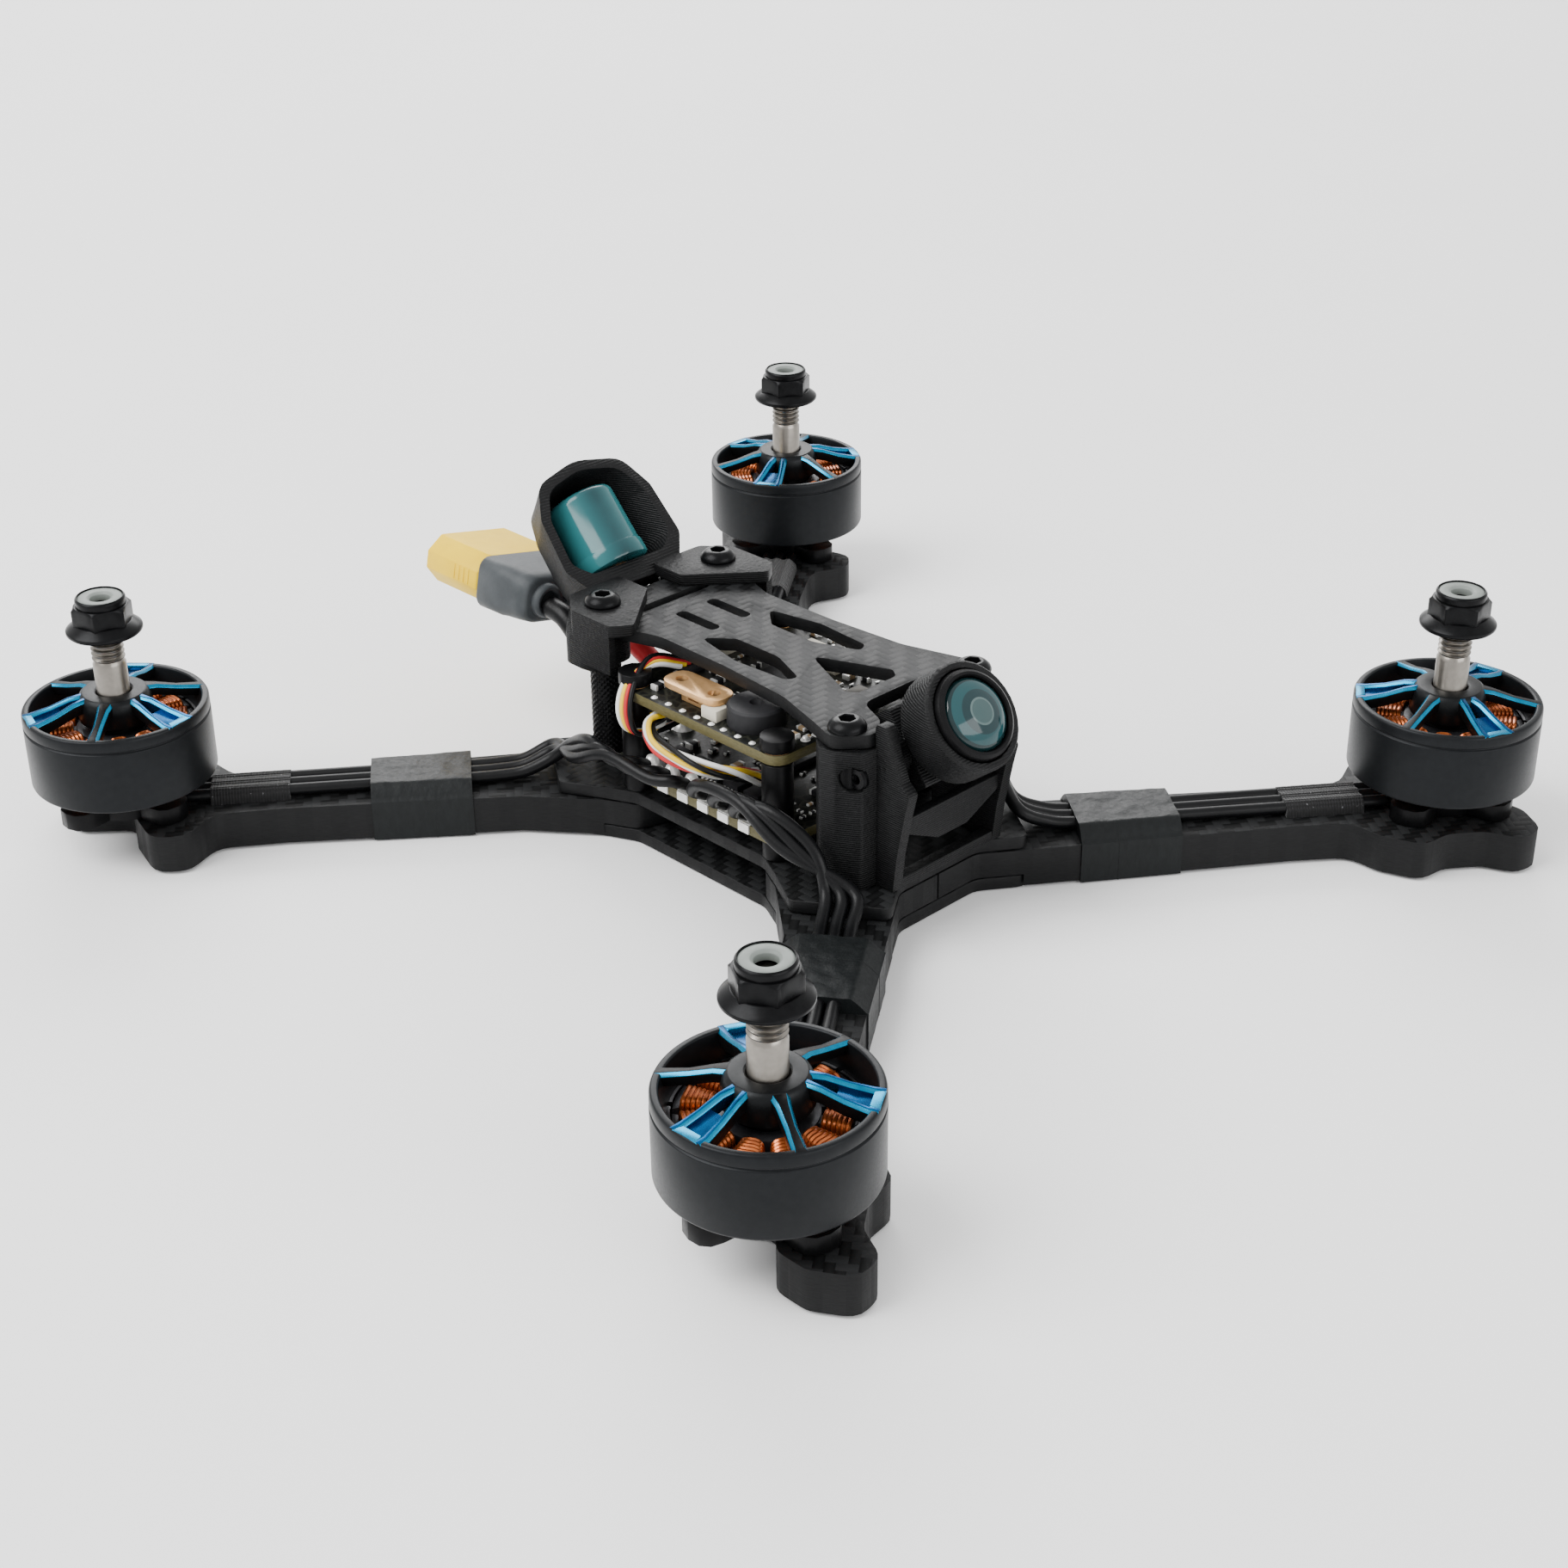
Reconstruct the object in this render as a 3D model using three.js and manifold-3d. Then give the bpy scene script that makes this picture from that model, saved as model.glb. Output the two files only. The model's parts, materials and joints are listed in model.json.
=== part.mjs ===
// Five-inch racing quadcopter: carbon sandwich frame, four brushless motors, tilting camera,
// electronics stack, rear antenna mount and a battery pigtail.
// Millimetres, +Z up, nose towards -Y. The origin is under the middle of the bottom plate.
import * as THREE from 'three';
import Module from 'manifold-3d';
import { mergeVertices } from 'three/addons/utils/BufferGeometryUtils.js';

const wasm = await Module();
wasm.setup();

// ---- driving sizes -------------------------------------------------------------------------
const GAP = 0.25;                      // clearance between touching pieces
const MOTOR_X = 71;                    // motor axes stand on a true square
const MOTOR_Y = 71;
const ARM_ANGLE = THREE.MathUtils.degToRad(37.15);
const ARM_TAPER = Math.tan(THREE.MathUtils.degToRad(2));
const ARM_THICK = 6;
const ARM_HALF_TIP = 5.9;              // half width 20 mm from the motor axis
const PLATE_THICK = 2;
const FOOT = 0.35;                     // the bottom plate stands this much below the arms
const ARM_TOP = FOOT + ARM_THICK;
const MID_BOTTOM = ARM_TOP + GAP;
const MID_TOP = MID_BOTTOM + PLATE_THICK;
const STANDOFF_LENGTH = 21.8;
const STANDOFF_RADIUS = 2.5;
const STANDOFF_BOTTOM = MID_TOP + GAP;
const STANDOFF_TOP = STANDOFF_BOTTOM + STANDOFF_LENGTH;
const TOP_BOTTOM = STANDOFF_TOP + GAP;
const TOP_TOP = TOP_BOTTOM + PLATE_THICK;
const CAP_TOP = TOP_TOP + 2;            // the antenna mount's caps cover the top plate's tail
const FRONT_STANDOFF = [13, -27];
const REAR_STANDOFF = [12, 26];

const BELL_RADIUS = 13.95;
const BELL_BOTTOM = ARM_TOP + 5.2;
const BELL_SEAM = ARM_TOP + 15.1;
const BELL_TOP = ARM_TOP + 17.1;
const HUB_TOP = ARM_TOP + 19.2;
const SHAFT_RADIUS = 2.5;
const SHAFT_TOP = HUB_TOP + 13.6;
const SHAFT_BORE = SHAFT_RADIUS + 0.12; // bore of the bell and the nut
const NUT_BOTTOM = HUB_TOP + 9.6;

const ESC_BOTTOM = 11.9;
const FC_BOTTOM = 24.6;
const BOARD_THICK = 1.6;
const STACK_PITCH = 30.5;

const CAMERA_PIVOT = [0, -30.33, 27.76];
const CAMERA_TILT = THREE.MathUtils.degToRad(38);
const CAMERA_HALF = 6.2;
const LENS_RADIUS = 6.7;
const HOOD_RADIUS = 8.2;

const ANTENNA_CENTRE = [0, 41.6, 38.1];
const ANTENNA_TILT = THREE.MathUtils.degToRad(47);

const WIRE_RADIUS = 1.75;              // 14 AWG silicone power wire
const LEAD_RADIUS = 0.95;              // 20 AWG motor lead
const PLUG_TAIL = [-1.5, 48.6, 25.3];  // middle of the plug's wire end
const PLUG_ROLL = THREE.MathUtils.degToRad(12);

const SLIVER = 0.004;                  // boolean slivers thinner than this are closed up

// ---- materials -----------------------------------------------------------------------------
const finish = (color, roughness, metalness = 0) => () =>
  new THREE.MeshStandardMaterial({ color, roughness, metalness });
const carbon = finish(0x3a3c3e, 0.5);
const printed = finish(0x1c1d1f, 0.75);
const anodised = finish(0x17191b, 0.4, 0.7);
const steel = finish(0xb5b0a8, 0.3, 1);
const blackSteel = finish(0x1b1c1e, 0.4, 0.9);
const motorMetal = finish(0x2b2e31, 0.42, 0.7);
const copper = finish(0xa8522c, 0.4, 0.8);
const board = finish(0x1b1c17, 0.5);
const silicone = finish(0x222325, 0.6);
const redSilicone = finish(0xb02229, 0.6);
const tape = finish(0x4b4f52, 0.5);
const yellowNylon = finish(0xeec24a, 0.45);
const greySleeve = finish(0x7d8184, 0.55);
const tealShell = finish(0x2f7f83, 0.25);
const gold = finish(0xd0a56c, 0.35, 0.8);

// ---- solids --------------------------------------------------------------------------------
const group = new THREE.Group();

function solidOf(geometry) {
  const bare = geometry.clone();
  bare.deleteAttribute('normal');
  bare.deleteAttribute('uv');
  const merged = mergeVertices(bare, 1e-4);
  return new wasm.Manifold(new wasm.Mesh({
    numProp: 3,
    vertProperties: merged.attributes.position.array,
    triVerts: new Uint32Array(merged.index.array),
  }));
}

function geometryOf(solid) {
  const mesh = solid.simplify(SLIVER).getMesh();
  const geometry = new THREE.BufferGeometry();
  geometry.setAttribute('position', new THREE.BufferAttribute(mesh.vertProperties.slice(), 3));
  geometry.setIndex(new THREE.BufferAttribute(mesh.triVerts.slice(), 1));
  geometry.computeVertexNormals();
  return geometry;
}

const join = (first, ...others) => geometryOf(
  others.reduce((sum, other) => sum.add(solidOf(other)), solidOf(first)));
const cut = (first, ...tools) => geometryOf(
  tools.reduce((rest, tool) => rest.subtract(solidOf(tool)), solidOf(first)));

function place(name, geometry, material, parent = group) {
  const mesh = new THREE.Mesh(geometry, material());
  mesh.name = name;
  parent.add(mesh);
  return mesh;
}

// A shape through corner points [x, y, radius]; each corner with a radius is rounded.
function rounded(corners) {
  const shape = new THREE.Shape();
  corners.forEach(([x, y, radius = 0], index) => {
    const here = new THREE.Vector2(x, y);
    const [bx, by] = corners[(index + corners.length - 1) % corners.length];
    const [ax, ay] = corners[(index + 1) % corners.length];
    const back = new THREE.Vector2(bx, by).sub(here);
    const ahead = new THREE.Vector2(ax, ay).sub(here);
    const room = Math.min(back.length(), ahead.length()) * 0.49;
    const half = back.angleTo(ahead) / 2;
    const reach = Math.min(radius / Math.tan(half), room);
    const start = back.setLength(reach).add(here);
    const end = ahead.setLength(reach).add(here);
    if (index === 0) {
      shape.moveTo(start.x, start.y);
    } else {
      shape.lineTo(start.x, start.y);
    }
    if (reach > 0.01) {
      shape.quadraticCurveTo(x, y, end.x, end.y);
    }
  });
  shape.closePath();
  return shape;
}

// Points on an arc about the origin, both ends included.
function arc(radius, from, to, steps) {
  return Array.from({ length: steps + 1 }, (_, step) => {
    const angle = from + ((to - from) * step) / steps;
    return new THREE.Vector2(radius * Math.cos(angle), radius * Math.sin(angle));
  });
}

function circle(x, y, radius, sides = 16) {
  const points = arc(radius, 0, Math.PI * 2, sides).slice(0, sides);
  return new THREE.Shape(points.map((point) => point.add(new THREE.Vector2(x, y))));
}

function slab(shape, bottom, thickness, curveSegments = 4) {
  const geometry = new THREE.ExtrudeGeometry(shape, {
    depth: thickness,
    bevelEnabled: false,
    curveSegments,
  });
  return geometry.translate(0, 0, bottom);
}

// A block from its two opposite corners.
function block([x0, y0, z0], [x1, y1, z1]) {
  const geometry = new THREE.BoxGeometry(x1 - x0, y1 - y0, z1 - z0);
  return geometry.translate((x0 + x1) / 2, (y0 + y1) / 2, (z0 + z1) / 2);
}

// A round solid on the Z axis; profile points are [radius, height], bottom to top.
function turned(profile, segments = 24) {
  const points = profile.map(([radius, height]) => new THREE.Vector2(radius, height));
  return new THREE.LatheGeometry(points, segments).rotateX(Math.PI / 2);
}

// An outline drawn in (y, z), filled between two values of x.
function sideways(outline, fromX, toX) {
  const geometry = new THREE.ExtrudeGeometry(outline, {
    depth: toX - fromX,
    bevelEnabled: false,
    curveSegments: 3,
  });
  return geometry.applyMatrix4(new THREE.Matrix4().set(
    0, 0, 1, fromX,
    1, 0, 0, 0,
    0, 1, 0, 0,
    0, 0, 0, 1,
  ));
}

// A round bar along X between two values of x.
function crossbar(y, z, radius, fromX, toX, segments = 14) {
  const bar = new THREE.CylinderGeometry(radius, radius, toX - fromX, segments);
  return bar.rotateZ(Math.PI / 2).translate((fromX + toX) / 2, y, z);
}

function cylinder(x, y, radius, bottom, top, segments = 16) {
  const geometry = new THREE.CylinderGeometry(radius, radius, top - bottom, segments);
  return geometry.rotateX(Math.PI / 2).translate(x, y, (bottom + top) / 2);
}

function tube(points, radius, steps, sides = 8) {
  const path = new THREE.CatmullRomCurve3(points.map((point) => new THREE.Vector3(...point)));
  return new THREE.ExtrudeGeometry(circle(0, 0, radius, sides), {
    steps,
    extrudePath: path,
    bevelEnabled: false,
  });
}

const quarters = [
  ['front_left', 1, -1],
  ['front_right', -1, -1],
  ['rear_left', 1, 1],
  ['rear_right', -1, 1],
];

const mirrored = (points, sx, sy) => points.map(([x, y, radius = 0]) => [x * sx, y * sy, radius]);

// A closed outline from the corners of its quarter with x and y positive.
function fourfold(quarter) {
  const reversed = [...quarter].reverse();
  return rounded([
    ...quarter,
    ...mirrored(reversed, -1, 1),
    ...mirrored(quarter, -1, -1),
    ...mirrored(reversed, 1, -1),
  ]);
}

// ---- carbon frame --------------------------------------------------------------------------
// The two lower plates share one outline: straight flanks that flare out onto the arm roots.
const plateQuarter = [
  [17, 9, 4],
  [17, 14, 4],
  [19.2, 18.6, 5],
  [23, 25.3, 1.2],
  [14.7, 37.4, 1.5],
  [8.2, 32.9, 4],
];

function countersinks(x, y) {
  return [[x, y], [-x, y]].map(([px, py]) => cylinder(px, py, 3, -1, 1.3, 12));
}

function buildLowerPlates() {
  const bottom = slab(fourfold(plateQuarter), 0, PLATE_THICK, 3);
  const recesses = [
    ...countersinks(...FRONT_STANDOFF),
    ...countersinks(...REAR_STANDOFF),
  ];
  place('bottom_plate', cut(bottom, ...recesses), carbon);
  const outline = fourfold(plateQuarter);
  outline.holes.push(rounded([[-7, -4, 2], [7, -4, 2], [7, 4, 2], [-7, 4, 2]]));
  place('mid_plate', slab(outline, MID_BOTTOM, PLATE_THICK, 3), carbon);
}

// Half of the top plate, from the nose notch round to the tail.
const topHalf = [
  [5.8, -23.2, 2.5],
  [7.9, -28.4, 3],
  [10.2, -30.6, 1.5],
  [12.4, -30.9, 2],
  [16.6, -27.2, 2.5],
  [15, -22.6, 6],
  [12.3, -13.5, 8],
  [11.3, 0, 8],
  [11.1, 14, 8],
  [13.2, 20.2, 5],
  [15.4, 25.5, 3],
  [13.4, 29.6, 2.5],
  [8, 29.6, 2],
];
const smallSlot = [[2.2, 10, 1], [4.2, 10, 1], [4.2, 18.6, 1], [2.2, 18.6, 1]];
const longSlot = [
  [3.6, 5.2, 1.5],
  [3.6, -3.6, 5],
  [6.5, -10.8, 0.9],
  [8.3, -9.8, 1],
  [9, 0, 5],
  [7.1, 9.4, 0.8],
];
const noseWindow = [[0, -7, 0.8], [5, -18.7, 1], [3.8, -20.4, 1], [-3.8, -20.4, 1], [-5, -18.7, 1]];
const tailSlot = [[-7, 22.4, 0.8], [7, 22.4, 0.8], [7, 24.2, 0.8], [-7, 24.2, 0.8]];

function buildTopPlate() {
  const shape = rounded([...topHalf, ...mirrored([...topHalf].reverse(), -1, 1)]);
  for (const side of [1, -1]) {
    shape.holes.push(rounded(mirrored(smallSlot, side, 1)));
    shape.holes.push(rounded(mirrored(longSlot, side, 1)));
  }
  shape.holes.push(rounded(noseWindow), rounded(tailSlot));
  place('top_plate', slab(shape, TOP_BOTTOM, PLATE_THICK, 3), carbon);
}

// Arm coordinates: along runs out from the body through the motor axis, aside points to the
// open flank of the drone, and the motor axis is at (0, 0).
function armToWorld(sx, sy, along, aside) {
  const x = MOTOR_X + along * Math.cos(ARM_ANGLE) + aside * Math.sin(ARM_ANGLE);
  const y = MOTOR_Y + along * Math.sin(ARM_ANGLE) - aside * Math.cos(ARM_ANGLE);
  return [sx * x, sy * y];
}

const armHalf = (distance) => ARM_HALF_TIP + (distance - 20) * ARM_TAPER;

// The motor pad has three screw lobes; the outer lobe on the flank side is left out.
const padCorners = [
  [-13.2, 6.4, 4],
  [-9.4, 12.6, 3],
  [-4.2, 12.6, 3.5],
  [-0.9, 4.5, 4],
  [-0.6, -1.2, 3],
  [8.6, -1.9, 3],
  [11.6, -6, 3.5],
  [12.1, -12.2, 3],
  [8, -14.2, 3],
  [3.4, -11.6, 4],
  [-2.4, -11.6, 4],
  [-6.8, -14.2, 3],
  [-12.3, -10.6, 4],
  [-15.5, -6.3, 4],
];

function buildArm([name, sx, sy]) {
  const world = ([along, aside, radius = 0]) => [...armToWorld(sx, sy, along, aside), radius];
  const outline = [
    ...padCorners.map(world),
    world([-24, -armHalf(24)]),
    world([-58, -armHalf(58)]),
    [sx * 8.2, sy * 32.9, 3],
    [sx * 0.15, sy * 32.9],
    [sx * 0.15, sy * 6.8],
    [sx * 9, sy * 11, 5],
    [sx * 17, sy * 14, 3],
    [sx * 19.2, sy * 18.6, 4],
    world([-60, armHalf(60)]),
    world([-24, armHalf(24)]),
  ];
  const arm = slab(rounded(outline), FOOT, ARM_THICK, 3);
  const rebate = slab(fourfold(plateQuarter), -1, PLATE_THICK + 1 + GAP, 3).scale(1.012, 1.012, 1);
  place(`arm_${name}`, cut(arm, rebate), carbon);
}

function buildFasteners() {
  const standoffs = [['front', FRONT_STANDOFF], ['rear', REAR_STANDOFF]];
  for (const [end, [x, y]] of standoffs) {
    for (const [side, sx] of [['left', 1], ['right', -1]]) {
      const post = cylinder(0, 0, STANDOFF_RADIUS, STANDOFF_BOTTOM, STANDOFF_TOP, 16);
      place(`standoff_${end}_${side}`, post.translate(sx * x, y, 0), anodised);
      const seat = end === 'rear' ? CAP_TOP : TOP_TOP;
      const head = turned([
        [0, 0.1],
        [2.8, 0.1],
        [2.7, 0.7],
        [1.7, 1.6],
        [1.1, 1.75],
        [1.1, 0.8],
        [0, 0.8],
      ], 16);
      place(`screw_${end}_${side}`, head.translate(sx * x, y, seat), blackSteel);
    }
  }
}

// ---- motors --------------------------------------------------------------------------------
const BASE_BOTTOM = ARM_TOP + GAP;
const LEG_TOP = BASE_BOTTOM + 2.6;
const SCREW_CIRCLE = 8.6;

function buildMotorBase() {
  const hub = turned([
    [2.9, BASE_BOTTOM],
    [7, BASE_BOTTOM],
    [7, LEG_TOP],
    [5.2, LEG_TOP + 1],
    [4, LEG_TOP + 1.2],
    [4, BELL_SEAM - 0.6],
    [2.9, BELL_SEAM - 0.6],
    [2.9, BASE_BOTTOM],
  ], 20);
  const leg = [[3, -2.9], [SCREW_CIRCLE + 3.2, -3.1, 3], [SCREW_CIRCLE + 3.2, 3.1, 3], [3, 2.9]];
  const legs = [0, 1, 2, 3].map((turn) => {
    const arm = slab(rounded(leg), BASE_BOTTOM, LEG_TOP - BASE_BOTTOM, 3);
    return arm.rotateZ(turn * Math.PI / 2 + Math.PI / 4);
  });
  return join(hub, ...legs);
}

function buildStator() {
  const teeth = 12;
  const edge = Math.PI / teeth;
  const points = [];
  for (let tooth = 0; tooth < teeth; tooth += 1) {
    const middle = 2 * edge * tooth;
    points.push(arc(7.2, middle - edge, middle, 1)[0]);
    points.push(...arc(11.3, middle - edge * 0.8, middle + edge * 0.8, 2));
  }
  const shape = new THREE.Shape(points);
  shape.holes.push(circle(0, 0, 4.25));
  return slab(shape, BELL_BOTTOM + 1.4, 8, 4);
}

const SPOKES = 6;

// Six openings between a thin and a wide spoke turn by turn.
function bellWindow(turn) {
  const step = (Math.PI * 2) / SPOKES;
  const thinFirst = turn % 2 === 0;
  const start = turn * step + (thinFirst ? 0.08 : 0.2);
  const end = (turn + 1) * step - (thinFirst ? 0.2 : 0.08);
  const inner = 5.4;
  const outer = 12.2;
  const grow = 0.12;
  return new THREE.Shape([...arc(outer, start, end, 4), ...arc(inner, end - grow, start + grow, 2)]);
}

function buildBell() {
  const can = turned([
    [11.9, BELL_BOTTOM],
    [BELL_RADIUS, BELL_BOTTOM],
    [BELL_RADIUS, BELL_SEAM],
    [BELL_RADIUS - 0.25, BELL_SEAM + 0.15],
    [BELL_RADIUS, BELL_SEAM + 0.3],
    [BELL_RADIUS - 0.1, BELL_TOP - 0.5],
    [BELL_RADIUS - 0.7, BELL_TOP],
    [12, BELL_TOP],
    [12, BELL_SEAM - 1.2],
    [11.9, BELL_SEAM - 1.2],
    [11.9, BELL_BOTTOM],
  ], 30);
  const top = circle(0, 0, 12.9, 30);
  for (let turn = 0; turn < SPOKES; turn += 1) {
    top.holes.push(bellWindow(turn));
  }
  const cover = slab(top, BELL_SEAM - 0.2, 1.9);
  const hub = turned([
    [0, BELL_SEAM - 0.2],
    [6.2, BELL_SEAM - 0.2],
    [6.2, BELL_TOP],
    [4.8, HUB_TOP],
    [0, HUB_TOP],
  ], 20);
  const bore = cylinder(0, 0, SHAFT_BORE, BELL_SEAM - 3, HUB_TOP + 1, 16);
  const whole = solidOf(can).add(solidOf(cover)).add(solidOf(hub)).subtract(solidOf(bore));
  return geometryOf(whole);
}

function buildShaft() {
  return turned([
    [0, ARM_TOP + 1.2],
    [SHAFT_RADIUS, ARM_TOP + 1.2],
    [SHAFT_RADIUS, SHAFT_TOP - 0.5],
    [SHAFT_RADIUS - 0.5, SHAFT_TOP],
    [0, SHAFT_TOP],
  ], 16);
}

function buildNut() {
  const flange = turned([
    [SHAFT_BORE, NUT_BOTTOM],
    [5.7, NUT_BOTTOM],
    [5.7, NUT_BOTTOM + 0.8],
    [4, NUT_BOTTOM + 1.8],
    [SHAFT_BORE, NUT_BOTTOM + 1.8],
    [SHAFT_BORE, NUT_BOTTOM],
  ], 16);
  const hexagon = circle(0, 0, 4.55, 6);
  hexagon.holes.push(circle(0, 0, SHAFT_BORE));
  const body = slab(hexagon, NUT_BOTTOM + 1.2, 3.6, 4);
  const collar = turned([
    [SHAFT_BORE, NUT_BOTTOM + 4.5],
    [3.7, NUT_BOTTOM + 4.5],
    [3.5, NUT_BOTTOM + 5.8],
    [SHAFT_BORE, NUT_BOTTOM + 5.8],
    [SHAFT_BORE, NUT_BOTTOM + 4.5],
  ], 16);
  return join(flange, body, collar);
}

// Each rotor stopped at an angle of its own, in degrees.
const rotorRest = { front_left: -54.5, front_right: 2, rear_left: 29.5, rear_right: -16.4 };

function buildMotor([name, sx, sy]) {
  const motor = new THREE.Group();
  motor.position.set(sx * MOTOR_X, sy * MOTOR_Y, 0);
  group.add(motor);
  const rotor = new THREE.Group();
  rotor.rotation.z = THREE.MathUtils.degToRad(rotorRest[name]);
  motor.add(rotor);
  const base = place(`motor_base_${name}`, buildMotorBase(), motorMetal, motor);
  base.rotation.z = sx * sy * ARM_ANGLE;
  place(`stator_${name}`, buildStator(), copper, motor);
  place(`bell_${name}`, buildBell(), motorMetal, rotor);
  place(`shaft_${name}`, buildShaft(), steel, rotor);
  place(`prop_nut_${name}`, buildNut(), blackSteel, rotor);
}

// ---- motor leads and arm wraps -------------------------------------------------------------
const LEAD_PITCH = 2.15;
const LEAD_LEVEL = ARM_TOP + GAP + LEAD_RADIUS;
const WRAP_START = { front: 41.5, rear: 37 };
const WRAP_LENGTH = 15.5;
const PAD_PITCH = 4.4;                 // the six motor pads along each side of the controller

function buildLeads([name, sx, sy]) {
  const crest = sy < 0 ? 20.5 : 17.5;
  const wires = [-1, 0, 1].map((lane) => {
    const onArm = (distance, level) =>
      [...armToWorld(sx, sy, -distance, lane * LEAD_PITCH), level];
    const padY = PAD_PITCH * (1.5 + lane);
    return tube([
      onArm(9, LEAD_LEVEL),
      onArm(20, LEAD_LEVEL),
      onArm(40, LEAD_LEVEL),
      onArm(57, LEAD_LEVEL),
      onArm(61, LEAD_LEVEL + 0.5),
      onArm(65.5, MID_TOP + LEAD_RADIUS + 0.7),
      [sx * (20.5 - lane * 1.3), sy * (24.5 + lane * 2), crest * 0.76],
      [sx * (21.6 - lane * 0.6), sy * (17 + lane * 2.6), crest - 0.6],
      [sx * 21.4, sy * (padY + 3), crest - 1.6],
      [sx * 19.9, sy * padY, ESC_BOTTOM + BOARD_THICK + 2.6],
      [sx * 17.4, sy * padY, ESC_BOTTOM + BOARD_THICK + LEAD_RADIUS + 0.25],
    ], LEAD_RADIUS, 22, 6);
  });
  const sleeve = [
    [-24, -3.6, 0.6],
    [-24, 3.6, 0.6],
    [-13, 3.9, 0.6],
    [-13, -3.9, 0.6],
  ].map(([along, aside, radius]) => [...armToWorld(sx, sy, along, aside), radius]);
  const braid = slab(rounded(sleeve), ARM_TOP + 0.1, LEAD_RADIUS * 2 + 0.8, 2);
  place(`motor_leads_${name}`, join(braid, ...wires), silicone);
}

function buildWrap([name, sx, sy]) {
  const box = (distanceA, distanceB, grow, bottom, top) => {
    const corners = [
      [-distanceA, armHalf(distanceA) + grow],
      [-distanceB, armHalf(distanceB) + grow],
      [-distanceB, -armHalf(distanceB) - grow],
      [-distanceA, -armHalf(distanceA) - grow],
    ].map(([along, aside]) => armToWorld(sx, sy, along, aside));
    return slab(rounded(corners), bottom, top - bottom);
  };
  const leadTop = LEAD_LEVEL + LEAD_RADIUS;
  const skin = 0.22;
  const air = 0.12;
  const start = WRAP_START[sy < 0 ? 'front' : 'rear'];
  const end = start + WRAP_LENGTH;
  const outside = box(start, end, air + skin, FOOT - air - skin, leadTop + air + skin);
  const inside = box(start - 1, end + 1, air, FOOT - air, leadTop + air);
  place(`arm_wrap_${name}`, cut(outside, inside), tape);
}

// ---- electronics stack ---------------------------------------------------------------------
function boardSolid(halfX, halfY, bottom, parts) {
  const outline = rounded([
    [halfX, halfY, 2.5],
    [-halfX, halfY, 2.5],
    [-halfX, -halfY, 2.5],
    [halfX, -halfY, 2.5],
  ]);
  for (const [, sx, sy] of quarters) {
    outline.holes.push(circle(sx * STACK_PITCH / 2, sy * STACK_PITCH / 2, 1.75));
  }
  const sheet = slab(outline, bottom, BOARD_THICK, 3);
  return join(sheet, ...parts);
}

function buildStack() {
  const escTop = ESC_BOTTOM + BOARD_THICK;
  const drivers = [];
  for (const sx of [1, -1]) {
    const x = sx * 11.4;
    for (let pad = -2.5; pad < 3; pad += 1) {
      const y = pad * PAD_PITCH;
      drivers.push(block([x - 2, y - 1.6, escTop - 0.2], [x + 2, y + 1.6, escTop + 1]));
    }
  }
  drivers.push(block([-5, -5, escTop - 0.2], [5, 3, escTop + 1.2]));
  drivers.push(block([-6.5, 12.8, escTop - 0.2], [-0.6, 17.6, escTop + 0.8]));
  drivers.push(block([0.6, 12.8, escTop - 0.2], [6.5, 17.6, escTop + 0.8]));
  place('esc_board', boardSolid(18, 18.6, ESC_BOTTOM, drivers), board);

  const fcTop = FC_BOTTOM + BOARD_THICK;
  const chips = [
    block([-4, -4, fcTop - 0.2], [4, 4, fcTop + 1]),
    block([-3.6, 12.2, fcTop - 0.2], [3.6, 17, fcTop + 2.6]),
    block([-4.6, -16.6, fcTop - 0.2], [4.6, -12.4, fcTop + 2.4]),
    block([7.4, -4.5, fcTop - 0.2], [11.4, 4.5, fcTop + 2.2]),
    block([-9, 5.4, fcTop - 0.2], [-5, 9.4, fcTop + 0.9]),
    block([-3.2, -3, FC_BOTTOM - 2.4], [3.2, 3, FC_BOTTOM + 0.2]),
    cylinder(-11.6, -7.2, 4.3, fcTop - 0.2, fcTop + 3.4, 20),
  ];
  place('fc_board', boardSolid(17.6, 17.6, FC_BOTTOM, chips), board);

  for (const [name, sx, sy] of quarters) {
    const post = turned([
      [0, MID_TOP + GAP],
      [2.4, MID_TOP + GAP],
      [2.4, ESC_BOTTOM - GAP],
      [1.5, ESC_BOTTOM - GAP],
      [1.5, escTop + GAP],
      [2.4, escTop + GAP],
      [2.4, FC_BOTTOM - GAP],
      [1.5, FC_BOTTOM - GAP],
      [1.5, fcTop + GAP],
      [2.6, fcTop + GAP],
      [2.6, fcTop + 2.2],
      [0, fcTop + 2.2],
    ], 12);
    post.translate(sx * STACK_PITCH / 2, sy * STACK_PITCH / 2, 0);
    place(`stack_post_${name}`, post, anodised);
  }

  const lug = rounded([
    [-15.6, -2.4, 2.3],
    [-10.6, -2.4, 2.3],
    [-10.6, 9.6, 2.3],
    [-15.6, 9.6, 2.3],
  ]);
  lug.holes.push(circle(-13.1, 0.1, 1), circle(-13.1, 7.1, 1));
  const flange = slab(lug, fcTop + 1.9, 0.9, 4);
  const legs = [0.9, 4.6].map((y) => block([-14.3, y, fcTop + 0.1], [-11.9, y + 1.4, fcTop + 2]));
  const foot = block([-14.3, 0.9, fcTop + 0.1], [-11.9, 6, fcTop + 0.6]);
  place('signal_bracket', join(flange, foot, ...legs), gold);
}

const harnessRoute = [
  [-15.4, 9.5, 22.6],
  [-18.6, 8.6, 22.4],
  [-20.4, 5.5, 21.6],
  [-20.8, 0, 21.2],
  [-19.8, -4.5, 20.8],
  [-16.6, -6.7, 19.6],
  [-12.6, -6.7, 17.6],
  [-9.8, -6.2, 16.2],
];

function buildHarness() {
  place('signal_harness', tube(harnessRoute, 1.3, 16, 8), redSilicone);
}

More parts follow.
